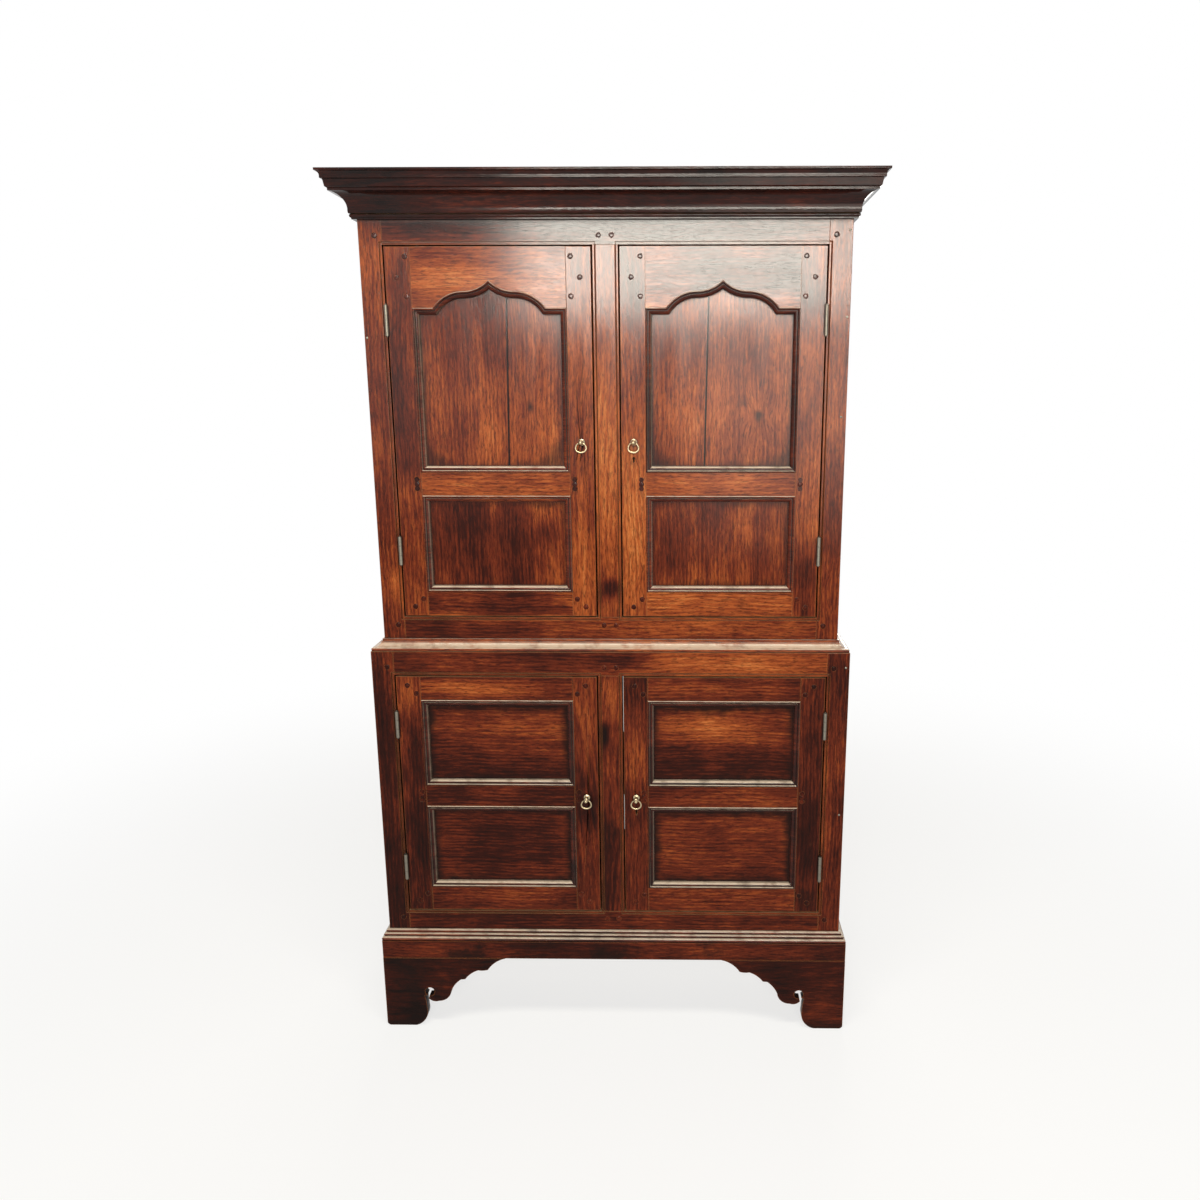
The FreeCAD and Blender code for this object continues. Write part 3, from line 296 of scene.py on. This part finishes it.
def oak(name, grain, seed, tone=0.0, stain=0.0, rough=0.0, shine=None, knots=(), panels=(), edges=True,
        dustAndHighlight=0.0, paintedHighlight=0.0):
    # grain drawn out along the board: figure, streaks, rings, patches of tone, pores, grime with painted shade in
    # corners and round the panel fields, worn edges, dust with a painted highlight on ledges, and painted
    # highlights on moulding runs
    made, tree, shader = freshMaterial(name)
    place = objectPlace(tree)
    drawn, fine = oakSettings["alongShare"], oakSettings["flecksShare"]
    scale = {"z": (1, 1, drawn), "x": (drawn, 1, 1), "y": (1, drawn, 1), "xy": (drawn, drawn, 1)}[grain]
    fineScale = tuple(value if value == 1 else fine for value in scale)
    wander = newNode(tree, "ShaderNodeTexNoise", {"Vector": place, "Scale": oakSettings["wanderScale"],
                                                  "Detail": oakSettings["wanderDetail"]}).outputs["Color"]
    bent = vectorArith(tree, "MULTIPLY_ADD", wander, oakSettings["wander"], place)
    bent = grainSwell(tree, place, bent, knots)
    offset = tuple(seed * share for share in oakSettings["seedShift"])
    board = mapped(tree, bent, offset, scale)
    fibre = mapped(tree, bent, offset, fineScale)
    shifted = mapped(tree, place, offset)
    figure = noise(tree, board, *oakSettings["figure"])
    streak = noise(tree, fibre, *oakSettings["streak"])
    patch = noise(tree, shifted, *oakSettings["patch"])
    blotch = noise(tree, board, *oakSettings["blotch"])
    ragged = noise(tree, shifted, *oakSettings["ragged"])

    weights = ((figure, oakSettings["figureWeight"]), (streak, oakSettings["streakWeight"]),
               (patch, oakSettings["patchWeight"]), (blotch, oakSettings["blotchWeight"]))
    level = oakSettings["middleTone"] + tone - 0.5 * sum(weight for part, weight in weights)
    for part, weight in weights:
        level = arith(tree, "MULTIPLY_ADD", part, weight, level)
    if grain in ("x", "z"):
        rings = growthRings(tree, bent, figure, grain, seed)
        level = arith(tree, "MULTIPLY_ADD", rings, ringSettings["weight"], level)
    for middleX, middleZ, reachX, reachZ, change in tonePatches.get(name, ()):
        away = faceOffset(tree, place, middleX, middleZ, 1.0 / reachX, 1.0 / reachZ)
        far = arith(tree, "MULTIPLY_ADD", patch, patchSettings["waver"], vectorArith(tree, "LENGTH", away))
        far = arith(tree, "MULTIPLY_ADD", figure, patchSettings["waver"], far)
        level = arith(tree, "ADD", level,
                      step(tree, far, patchSettings["inner"], patchSettings["outer"], change, 0.0))
    colour = ramp(tree, level, oakSettings["stops"])

    flecks = step(tree, noise(tree, fibre, *oakSettings["flecks"]), *oakSettings["flecksStep"])
    pores = step(tree, noise(tree, fibre, *oakSettings["pores"]), *oakSettings["poresStep"])
    pores = arith(tree, "MAXIMUM", pores, flecks)
    colour = mixColour(tree, arith(tree, "MULTIPLY", pores, oakSettings["poresShare"]), colour,
                       oakSettings["pore"])
    colour = knotCores(tree, place, shifted, colour, knots)
    spill = step(tree, noise(tree, shifted, *spillSettings["noise"]),
                 spillSettings["low"] - spillSettings["lowByStain"] * stain,
                 spillSettings["high"] - spillSettings["highByStain"] * stain)
    spill = arith(tree, "MULTIPLY", spill, spillSettings["share"] + spillSettings["shareByStain"] * stain)
    colour = mixColour(tree, spill, colour, oakSettings["grimeAndShade"])
    # painted shade and dirt round each panel's field, with the dark board joint
    if panels:
        dirtAndShade = rimShadeAndDirt(tree, name, place, ragged, patch, panels)
        colour = mixColour(tree, dirtAndShade, colour, oakSettings["grimeAndShade"])

    normal = newNode(tree, "ShaderNodeNewGeometry").outputs["Normal"]
    if edges:  # rubbed along the arrises, where the rounded normal leaves the face's own
        rounded = newNode(tree, "ShaderNodeBevel", {"Radius": edgeSettings["radius"]},
                          samples=edgeSettings["samples"]).outputs[0]
        flush = vectorArith(tree, "DOT_PRODUCT", rounded, normal)
        flush = arith(tree, "MULTIPLY_ADD", ragged, edgeSettings["ragged"], flush)
        colour = mixColour(tree, step(tree, flush, *edgeSettings["step"]), colour, edgeSettings["colour"])
    # painted shade and grime: colour darkened where other faces are near
    corner = hollows(tree, grimeAndShadeSettings["distance"], grimeAndShadeSettings["samples"])
    grimeAndShade = step(tree, arith(tree, "MULTIPLY_ADD", ragged, grimeAndShadeSettings["ragged"], corner),
                 *grimeAndShadeSettings["step"])
    colour = mixColour(tree, grimeAndShade, colour, oakSettings["grimeAndShade"])
    spread = sheenSettings["spread"]
    dull = arith(tree, "MULTIPLY_ADD", noise(tree, board, *sheenSettings["noise"]), spread,
                 sheenSettings["gloss"] - spread / 2.0 + rough)
    dull = arith(tree, "MULTIPLY_ADD", grimeAndShade, grimeAndShadeSettings["dulls"], dull)
    turned = separated(tree, normal)
    if dustAndHighlight:  # dust and pale wear on ledges that face up, partly a painted highlight where light from above falls
        dustAndHighlightFilm = arith(tree, "MULTIPLY", step(tree, turned[2], *dustAndHighlightSettings["upStep"]),
                     step(tree, ragged, *dustAndHighlightSettings["raggedStep"]))
        dustAndHighlightFilm = arith(tree, "MULTIPLY", dustAndHighlightFilm, dustAndHighlight)
        colour = mixColour(tree, dustAndHighlightFilm, colour, dustAndHighlightSettings["colour"])
        dull = arith(tree, "MULTIPLY_ADD", dustAndHighlightFilm, dustAndHighlightSettings["dulls"], dull)
    # painted highlight: pale colour on moulding runs that face up or to the right
    if paintedHighlight:
        highlightCatch = arith(tree, "MAXIMUM", step(tree, turned[2], *paintedHighlightSettings["upStep"]),
                      step(tree, turned[0], *paintedHighlightSettings["sideStep"]))
        highlightCatch = arith(tree, "MULTIPLY", highlightCatch, step(tree, ragged, *paintedHighlightSettings["raggedStep"]))
        colour = mixColour(tree, arith(tree, "MULTIPLY", highlightCatch, paintedHighlight), colour, paintedHighlightSettings["colour"])
    if shine is None:
        polished = step(tree, separated(tree, place)[2], *sheenSettings["polish"])
    else:
        shineSpread = sheenSettings["shineSpread"]
        polished = arith(tree, "MULTIPLY_ADD", ragged, shineSpread, shine - shineSpread / 2.0)
    tree.links.new(colour, shader.inputs["Base Color"])
    tree.links.new(dull, shader.inputs["Roughness"])
    tree.links.new(polished, shader.inputs["Specular IOR Level"])

    planed = noise(tree, board, *planedSettings["noise"])  # hand-planed surface, then fibres and pores
    height = arith(tree, "MULTIPLY_ADD", streak, planedSettings["streak"], planed)
    height = arith(tree, "MULTIPLY_ADD", pores, planedSettings["pores"], height)
    bumped(tree, shader, height, planedSettings["strength"], planedSettings["distance"])
    return made


easeSettings = {"width": 0.0012, "weld": 0.00001, "segments": 2, "angle": 40}


def edgesEased(nodeName):  # handled edges are never sharp
    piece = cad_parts[nodeName]
    weld = piece.modifiers.new("weld", "WELD")
    weld.merge_threshold = easeSettings["weld"]
    ease = piece.modifiers.new("ease", "BEVEL")
    ease.width = easeSettings["width"]
    ease.segments = easeSettings["segments"]
    ease.limit_method = "ANGLE"
    ease.angle_limit = math.radians(easeSettings["angle"])


frameFinish = {"stain": 0.25, "dustAndHighlight": 0.5}
sideFinish = {"stain": 0.25, "dustAndHighlight": 0.5, "rough": 0.34, "shine": 0.12}  # duller and less waxed than the front
frameTone = {"upper": 0.02, "lower": -0.08}
frameSeeds = {"first": 3.1, "apart": 2.7}
for index, stage in enumerate(("upper", "lower")):
    for shift, part in enumerate(("left_stile", "right_stile", "muntin", "rails", "sides")):
        name = stage + "_" + part
        grain = "x" if part == "rails" else "z"
        seed = frameSeeds["first"] + index + frameSeeds["apart"] * shift
        finish = sideFinish if part == "sides" else frameFinish
        dress(name, oak(name, grain, seed, frameTone[stage], **finish))
        edgesEased(name)
mouldingFinish = {
    "cornice": {"seed": 21.4, "tone": -0.3, "rough": -0.02, "shine": 0.2, "edges": False, "dustAndHighlight": 0.3},
    "waist_moulding": {"seed": 23.8, "tone": 0.1, "shine": 0.3, "edges": False, "paintedHighlight": 0.8},
    "base_moulding": {"seed": 26.1, "tone": -0.02, "stain": 0.3, "shine": 0.25, "edges": False, "paintedHighlight": 0.7},
}
for name, finish in mouldingFinish.items():
    dress(name, oak(name, "xy", **finish))
footFinish = {
    "plinth": {"seed": 28.7, "tone": -0.2, "stain": 0.9, "rough": 0.1},
    "left_foot": {"seed": 31.2, "tone": -0.3, "stain": 0.7, "rough": 0.14},
    "right_foot": {"seed": 32.2, "tone": -0.3, "stain": 0.7, "rough": 0.14},
    "back_feet": {"seed": 33.2, "tone": -0.3, "stain": 0.7, "rough": 0.14},
}
for name, finish in footFinish.items():
    dress(name, oak(name, "xy", **finish))
    edgesEased(name)
print("carcass finished")

# dry inside boards

insideSettings = {
    "dark": (0.075, 0.034, 0.015), "light": (0.3, 0.165, 0.08), "darkAt": 0.5, "lightAt": 1.0, "rough": 0.72,
    "alongShare": 0.05, "seedShift": (1.0, 0.6, 1.7),
    "figure": (22.0, 5.0, 0.62, 0.8), "streak": (160.0, 3.0), "streakWeight": 0.5, "plankWeight": 0.26,
    "dirtAndShade": (4.0, 4.0, 0.6), "dirtStep": (0.45, 0.75, 0.0, 0.5),
    "hollow": 0.05, "samples": 4, "hollowStep": (0.3, 0.95, 0.6, 0.0), "strength": 0.4, "distance": 0.0015,
    "backSeed": 2.0, "boardsSeed": 5.0, "shelfSeed": 8.0,
}
backNails = {"boards": 6, "across": 2, "upperHalf": 0.522, "lowerHalf": 0.548, "radius": 0.0034,
             "heights": (0.29, 0.6, 0.915, 1.0, 1.45, 1.9), "rust": (0.02, 0.0085, 0.005),
             "ragged": (90.0, 2.0), "headFrom": 1.3, "headTo": 1.6, "stainTo": 4.5, "stain": 0.55}


def nailMarks(tree, place, pitch):  # rusty marks in rows across each back board
    spot = separated(tree, place)
    apart = pitch / backNails["across"]
    beside = arith(tree, "SUBTRACT", arith(tree, "FLOORED_MODULO", spot[0], apart), apart / 2.0)
    beside = arith(tree, "ABSOLUTE", beside)
    level = None
    for tall in backNails["heights"]:
        away = arith(tree, "ABSOLUTE", arith(tree, "SUBTRACT", spot[2], tall))
        level = away if level is None else arith(tree, "MINIMUM", level, away)
    radius = backNails["radius"]
    far = vectorArith(tree, "LENGTH", joined(tree, beside, level))
    far = arith(tree, "MULTIPLY_ADD", noise(tree, place, *backNails["ragged"]), radius, far)
    head = step(tree, far, radius * backNails["headFrom"], radius * backNails["headTo"], 1.0, 0.0)
    stain = step(tree, far, radius, radius * backNails["stainTo"], backNails["stain"], 0.0)
    return arith(tree, "MAXIMUM", head, stain)


def dryBoard(name, grain, seed):  # unpolished sawn board: pale streaks, dirt and saw marks
    made, tree, shader = freshMaterial(name)
    place = objectPlace(tree)
    drawn = insideSettings["alongShare"]
    scale = {"z": (1, 1, drawn), "x": (drawn, 1, 1)}[grain]
    board = mapped(tree, place, tuple(seed * share for share in insideSettings["seedShift"]), scale)
    figure = noise(tree, board, *insideSettings["figure"])
    streak = noise(tree, board, *insideSettings["streak"])
    tone = arith(tree, "MULTIPLY_ADD", streak, insideSettings["streakWeight"], figure)
    shade = tone
    if grain == "z":  # each back board has a shade of its own
        pitch = 2.0 * backNails[name.split("_")[0] + "Half"] / backNails["boards"]
        plank = arith(tree, "FLOOR", arith(tree, "DIVIDE", separated(tree, place)[0], pitch))
        chance = newNode(tree, "ShaderNodeTexWhiteNoise", {"W": arith(tree, "ADD", plank, seed)},
                         noise_dimensions="1D").outputs["Value"]
        shade = arith(tree, "MULTIPLY_ADD", chance, insideSettings["plankWeight"], tone)
    colour = ramp(tree, shade, [(insideSettings["darkAt"], insideSettings["dark"]),
                                (insideSettings["lightAt"], insideSettings["light"])])
    dirtAndShade = step(tree, noise(tree, place, *insideSettings["dirtAndShade"]), *insideSettings["dirtStep"])
    colour = mixColour(tree, dirtAndShade, colour, insideSettings["dark"])
    if grain == "z":
        colour = mixColour(tree, nailMarks(tree, place, pitch), colour, backNails["rust"])
    # painted shade and grime: darker where other faces are near, in the inside corners
    corner = hollows(tree, insideSettings["hollow"], insideSettings["samples"])
    colour = mixColour(tree, step(tree, corner, *insideSettings["hollowStep"]), colour, oakSettings["grimeAndShade"])
    tree.links.new(colour, shader.inputs["Base Color"])
    shader.inputs["Roughness"].default_value = insideSettings["rough"]
    bumped(tree, shader, tone, insideSettings["strength"], insideSettings["distance"])
    return made


for index, stage in enumerate(("upper", "lower")):
    for part, grain in (("back", "z"), ("boards", "x"), ("shelf", "x")):
        name = stage + "_" + part
        dress(name, dryBoard(name, grain, insideSettings[part + "Seed"] + index))
print("inside finished")

# brass and iron fittings

brassSettings = {"bright": (0.52, 0.42, 0.26), "dull": (0.07, 0.05, 0.03), "rough": 0.26, "scale": 180.0}
ironSettings = {"bright": (0.2, 0.18, 0.145), "dull": (0.055, 0.028, 0.016), "rough": 0.42, "scale": 220.0}
metalSettings = {"detail": 4.0, "noiseRough": 0.6, "hollow": 0.006, "samples": 6, "cloudWear": 0.7,
                 "wearStep": (0.85, 1.4), "cloudRough": 0.25, "roughShift": 0.1, "strength": 0.2,
                 "distance": 0.0006}


def agedMetal(name, bright, dull, rough, scale):  # bright on the rubbed parts, dark in the hollows
    made, tree, shader = freshMaterial(name)
    cloud = noise(tree, objectPlace(tree), scale, metalSettings["detail"], metalSettings["noiseRough"])
    corner = hollows(tree, metalSettings["hollow"], metalSettings["samples"])
    wear = arith(tree, "MULTIPLY_ADD", cloud, metalSettings["cloudWear"], corner)
    colour = mixColour(tree, step(tree, wear, *metalSettings["wearStep"]), dull, bright)
    uneven = arith(tree, "MULTIPLY_ADD", cloud, metalSettings["cloudRough"], rough - metalSettings["roughShift"])
    tree.links.new(colour, shader.inputs["Base Color"])
    tree.links.new(uneven, shader.inputs["Roughness"])
    shader.inputs["Metallic"].default_value = 1.0
    bumped(tree, shader, cloud, metalSettings["strength"], metalSettings["distance"])
    return made


pegFinish = {"seed": 41.0, "tone": -0.22, "stain": 0.3, "edges": False}
brass = agedMetal("agedBrass", **brassSettings)
iron = agedMetal("brownedIron", **ironSettings)
pegOak = oak("pegOak", "y", **pegFinish)
dress("hinge_plates", iron)
dress("carcass_pegs", pegOak)

# doors

# low and high panel fields: bottom, top, corner radius
doorFinish = {
    "upper": {"tone": 0.1, "middleX": 0.25, "halfX": 0.1655, "panelGrain": "z",
              "low": (1.093, 1.312, 0.02), "high": (1.364, 1.77, 0.1)},
    "lower": {"tone": -0.06, "middleX": 0.26225, "halfX": 0.17575, "panelGrain": "x",
              "low": (0.369, 0.579, 0.025), "high": (0.631, 0.842, 0.025)},
}
doorFrame = {"stain": 0.2, "dustAndHighlight": 0.4}
doorMoulding = {"shine": 0.16, "edges": False, "paintedHighlight": 0.8}
doorSeeds = {"stiles": 51.3, "rails": 57.9, "panels": 63.5, "mouldings": 69.1}
mouldingDarker = 0.2
doorKnots = {"upper_left": [(-0.17, 1.505, 0.009)], "upper_right": [(0.331, 1.488, 0.01)]}
doors = [(stage, hand) for stage in ("upper", "lower") for hand in ("left", "right")]
for index, (stage, hand) in enumerate(doors):
    name = stage + "_" + hand + "_door"
    finish = doorFinish[stage]
    side = -1 if hand == "left" else 1
    tone = finish["tone"]
    fields = [(side * finish["middleX"], (low + high) / 2, finish["halfX"], (high - low) / 2, corner)
              for low, high, corner in (finish["low"], finish["high"])]
    for part, grain in (("stiles", "z"), ("rails", "x")):
        dress(name + "_" + part, oak(name + "_" + part, grain, doorSeeds[part] + index, tone, **doorFrame))
        edgesEased(name + "_" + part)
    dress(name + "_panels", oak(name + "_panels", finish["panelGrain"], doorSeeds["panels"] + index, tone,
                                knots=doorKnots.get(stage + "_" + hand, ()), panels=fields, edges=False))
    dress(name + "_mouldings", oak(name + "_mouldings", "xy", doorSeeds["mouldings"] + index,
                                   tone - mouldingDarker, **doorMoulding))
    dress(name + "_pegs", pegOak)
    dress(name + "_hinges", iron)
    dress(name + "_handle", brass)
    dress(name + "_ring", brass)
    if hand == "right":
        dress(name + "_lock", iron)
print("doors finished")

# turned brass, swept rings, peg and nail heads; their sizes are in millimetres

perMetre = 1000.0


def surfacePiece(name, points, wrapRows, body, made, replaced=None):
    # points holds one or more grids, (grids, rows, columns, xyz); columns run round and close on themselves
    grids, rows, columns = points.shape[:3]
    down = np.arange(rows if wrapRows else rows - 1)
    across = np.arange(columns)
    after = (across + 1) % columns
    here, below = down[:, None] * columns, (down[:, None] + 1) % rows * columns
    corners = np.stack([here + across, here + after, below + after, below + across], -1)
    faces = (np.arange(grids)[:, None, None] * rows * columns + corners.reshape(1, -1, 4)).reshape(-1, 4)
    data = bpy.data.meshes.new(name)
    data.from_pydata(points.reshape(-1, 3).tolist(), [], faces.tolist())
    data.polygons.foreach_set("use_smooth", np.ones(len(faces), bool))
    data.materials.append(made)
    piece = bpy.data.objects.new(name, data)
    bpy.context.scene.collection.objects.link(piece)
    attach(piece, body)
    if replaced:
        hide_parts(replaced)
    return piece


def roundTurn(count):  # angles evenly round a circle
    return np.linspace(0.0, 2.0 * np.pi, count, endpoint=False)


def evenly(profile, count):  # points at even steps along a profile
    profile = np.array(profile, float)
    run = np.concatenate([[0.0], np.cumsum(np.linalg.norm(np.diff(profile, axis=0), axis=1))])
    steps = np.linspace(0.0, run[-1], count)
    return np.stack([np.interp(steps, run, profile[:, axis]) for axis in (0, 1)], -1)


def turnedAboutY(profile, middle, columns):  # profile gives distance out of the door and radius
    turn = roundTurn(columns)
    out, radius = profile[:, :1] / perMetre, profile[:, 1:] / perMetre
    grid = np.stack([radius * np.cos(turn), -out + 0.0 * turn, radius * np.sin(turn)], -1)
    return grid + np.array(middle)


knobShape = {
    "rose": [(0.0, 7.3), (0.5, 7.5), (1.2, 7.3), (1.7, 6.6), (2.0, 5.9), (2.5, 5.6), (2.9, 4.5), (3.5, 3.6)],
    "neck": [(5.0, 3.2), (7.5, 3.0), (9.0, 3.3), (10.3, 3.8)],
    "ball": (16.0, 6.0), "ballTurn": (-66.0, 62.0, 24),
    "finial": [(21.7, 2.6), (22.2, 2.4), (22.8, 2.9), (23.6, 3.6), (24.8, 3.9), (26.0, 3.7), (27.2, 2.9),
               (28.2, 1.5), (28.6, 0.02)],
    "rove": [(-24.0, 6.5), (-24.9, 6.4), (-25.2, 5.9), (-25.2, 3.7), (-25.8, 3.5), (-26.2, 2.6), (-26.4, 1.0),
             (-26.4, 0.02)],
    "rows": 96, "columns": 40,
}
ringShape = {"halfWidth": 11.4, "drop": 10.4, "halfHeight": 10.8, "egg": 0.14, "wire": 1.35, "wireBelow": 2.05,
             "rows": 96, "columns": 20}
doorFront = {"upper": -0.194, "lower": -0.22}
ballTurn = np.radians(np.linspace(*knobShape["ballTurn"]))
ballOut, ballRadius = knobShape["ball"]
ballArc = np.stack([ballOut + ballRadius * np.sin(ballTurn), ballRadius * np.cos(ballTurn)], -1).tolist()
frontProfile = evenly(knobShape["rose"] + knobShape["neck"] + ballArc + knobShape["finial"], knobShape["rows"])
backProfile = evenly(knobShape["rove"], knobShape["rows"])

# ring: an egg-shaped loop, narrower above, swept by a round wire that thickens towards the bottom
turn = roundTurn(ringShape["rows"])[:, None]
around = roundTurn(ringShape["columns"])
loopX = ringShape["halfWidth"] * np.sin(turn) * (1.0 - ringShape["egg"] * np.cos(turn))
loopZ = ringShape["halfHeight"] * np.cos(turn) - ringShape["drop"]
aheadX, aheadZ = np.gradient(loopX[:, 0])[:, None], np.gradient(loopZ[:, 0])[:, None]
ahead = np.hypot(aheadX, aheadZ)
wire = ringShape["wire"] + (ringShape["wireBelow"] - ringShape["wire"]) * (1.0 - np.cos(turn)) / 2.0
ringGrid = np.stack([loopX + wire * np.cos(around) * aheadZ / ahead, wire * np.sin(around) + 0.0 * turn,
                     loopZ - wire * np.cos(around) * aheadX / ahead], -1) / perMetre
for stage, hand in doors:
    name = stage + "_" + hand + "_door"
    low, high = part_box(name + "_handle")
    middle = ((low[0] + high[0]) / 2, doorFront[stage], (low[2] + high[2]) / 2)
    front = turnedAboutY(frontProfile, middle, knobShape["columns"])
    back = turnedAboutY(backProfile, middle, knobShape["columns"])[:, ::-1]
    surfacePiece(name + "_knob", np.stack([front, back]), False, name, brass, name + "_handle")
    hung = ringGrid + np.array((middle[0], middle[1] - ballOut / perMetre, middle[2]))
    ringBody = stage + "_" + hand + "_ring"
    surfacePiece(ringBody + "_wire", hung[None], True, ringBody, brass, name + "_ring")
print("handles turned")

# lobes: size, count round the head, and turns of the head's own phase
headShape = {"pegRadius": 5.7, "pegProud": 0.8, "nailRadius": 3.1, "nailProud": 1.0, "sunk": 0.7, "rows": 9,
             "columns": 28, "start": 0.02, "phase": 2.4, "lobes": ((0.05, 3.0, 1.0), (0.03, 5.0, 2.0)),
             "crown": 4, "skirt": 8, "tilt": 0.25, "facing": -1.0}
pegGroups = {"within": 0.013, "rounds": 12}


def heads(places, radius, proud):
    # low domes, a little out of round: the height falls with the fourth power of the radius
    share = np.linspace(headShape["start"], 1.0, headShape["rows"])[None, :, None]
    turn = roundTurn(headShape["columns"])[None, None, :]
    phase = (np.arange(len(places)) * headShape["phase"])[:, None, None]
    lobed = sum((size * np.sin(count * turn + own * phase) for size, count, own in headShape["lobes"]), 1.0)
    wide = radius * share * lobed
    tilted = 1.0 + headShape["tilt"] * share * np.cos(turn + phase)
    tall = proud * (1.0 - share ** headShape["crown"]) * tilted - headShape["sunk"] * share ** headShape["skirt"]
    facing = headShape["facing"]
    grid = np.stack([facing * wide * np.cos(turn), facing * tall, wide * np.sin(turn)], -1) / perMetre
    return (grid + np.array(places)[:, None, None, :])[:, :, ::-1]


def pegPlaces(nodeName):  # corners of the node that lie near each other belong to one peg
    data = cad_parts[nodeName].data
    corners = np.zeros(len(data.vertices) * 3)
    data.vertices.foreach_get("co", corners)
    corners = corners.reshape(-1, 3)
    apart = np.linalg.norm((corners[:, None] - corners[None])[..., (0, 2)], axis=-1)
    near = apart < pegGroups["within"]
    label = np.arange(len(corners))
    for again in range(pegGroups["rounds"]):
        label = np.where(near, label[None], len(corners)).min(1)
    groups = [corners[label == value] for value in np.unique(label)]
    return [(group[:, 0].mean(), group[:, 1].min(), group[:, 2].mean()) for group in groups]


for stage, hand in doors:
    name = stage + "_" + hand + "_door"
    pegs = heads(pegPlaces(name + "_pegs"), headShape["pegRadius"], headShape["pegProud"])
    surfacePiece(name + "_peg_heads", pegs, False, name, pegOak)
pegs = heads(pegPlaces("carcass_pegs"), headShape["pegRadius"], headShape["pegProud"])
surfacePiece("frame_peg_heads", pegs, False, "carcass", pegOak)
nailSpots = [(0.5155, -0.194, 1.8698), (0.5152, -0.194, 1.6947), (0.5105, -0.194, 1.485),
             (0.5394, -0.22, 0.9231), (0.5373, -0.22, 0.5616), (-0.5165, -0.194, 1.6521)]
nails = heads(nailSpots, headShape["nailRadius"], headShape["nailProud"])
surfacePiece("front_nail_heads", nails, False, "carcass", iron)
print("pegs and nails set")

# floor, light and camera

stageSettings = {"floorColour": (0.86, 0.86, 0.86, 1.0), "white": (1.0, 1.0, 1.0, 1.0), "floorSize": 24.0,
                 "fade": (0.9, 3.2, 0.7, 1.0), "fill": 0.2}


def seenRays(tree):  # one for rays that show the backdrop, nought for those that light the part
    rays = newNode(tree, "ShaderNodeLightPath").outputs
    return arith(tree, "ADD", arith(tree, "ADD", rays["Is Camera Ray"], rays["Is Glossy Ray"]),
                 rays["Is Transmission Ray"], clamp=True)


bpy.ops.mesh.primitive_plane_add(size=stageSettings["floorSize"], location=(0.0, 0.0, 0.0))
floor = bpy.context.object
floor.name = "floor"
paper = bpy.data.materials.new("palePaper")
paper.use_nodes = True
tree = paper.node_tree
tree.nodes.clear()
reach = vectorArith(tree, "LENGTH", objectPlace(tree))
fade = step(tree, reach, *stageSettings["fade"])
matt = newNode(tree, "ShaderNodeBsdfDiffuse", {"Color": stageSettings["floorColour"]})
glow = newNode(tree, "ShaderNodeEmission", {"Color": stageSettings["white"], "Strength": 1.0})
blend = newNode(tree, "ShaderNodeMixShader", {0: arith(tree, "MULTIPLY", seenRays(tree), fade),
                                              1: matt.outputs[0], 2: glow.outputs[0]})
newNode(tree, "ShaderNodeOutputMaterial", {"Surface": blend.outputs[0]})
floor.data.materials.append(paper)

world = bpy.data.worlds.new("paleRoom")
world.use_nodes = True
tree = world.node_tree
tree.nodes.clear()
level = newNode(tree, "ShaderNodeMapRange", {"Value": seenRays(tree), "To Min": stageSettings["fill"],
                                             "To Max": 1.0}).outputs[0]
sky = newNode(tree, "ShaderNodeBackground", {"Color": stageSettings["white"], "Strength": level})
newNode(tree, "ShaderNodeOutputWorld", {"Surface": sky.outputs[0]})
bpy.context.scene.world = world

# place, tilt from straight down, turn about the upright, width, height, brightness of its face
lampSettings = {
    "window": ((0.22, -5.0, 2.5), 84.0, 0.0, 2.4, 0.86, 25.0),
    "lowerPane": ((1.2, -5.0, 1.15), 90.0, 0.0, 2.0, 1.6, 3.0),
    "skylight": ((0.1, -1.7, 4.3), 28.0, 0.0, 3.0, 0.6, 18.0),
    "backLight": ((0.4, 4.6, 2.8), 75.0, 180.0, 3.0, 1.6, 7.0),
}
lampColour = (1.0, 0.96, 0.85)
for name, (place, tilt, turn, width, tall, bright) in lampSettings.items():
    lamp = bpy.data.lights.new(name, "AREA")
    lamp.shape = "RECTANGLE"
    lamp.size = width
    lamp.size_y = tall
    lamp.energy = bright * math.pi * width * tall
    lamp.color = lampColour
    holder = bpy.data.objects.new(name, lamp)
    holder.location = place
    holder.rotation_euler = (math.radians(tilt), 0.0, math.radians(turn))
    bpy.context.scene.collection.objects.link(holder)

cameraSettings = {"focalPixels": 950.0, "frame": 1200.0, "place": (0.1644, -2.3091, 1.5402), "down": 12.402,
                  "turn": 0.764, "axisX": 669.46, "sensor": 36.0, "far": 60.0}
view = bpy.data.cameras.new("camera")
view.sensor_width = cameraSettings["sensor"]
view.lens = view.sensor_width * cameraSettings["focalPixels"] / cameraSettings["frame"]
view.shift_x = (cameraSettings["frame"] / 2 - cameraSettings["axisX"]) / cameraSettings["frame"]
view.clip_end = cameraSettings["far"]
camera = bpy.data.objects.new("camera", view)
camera.location = cameraSettings["place"]
camera.rotation_euler = (math.radians(90.0 - cameraSettings["down"]), 0.0, math.radians(cameraSettings["turn"]))
bpy.context.scene.collection.objects.link(camera)
bpy.context.scene.camera = camera
bpy.context.scene.view_settings.view_transform = "Standard"
print("stage set")
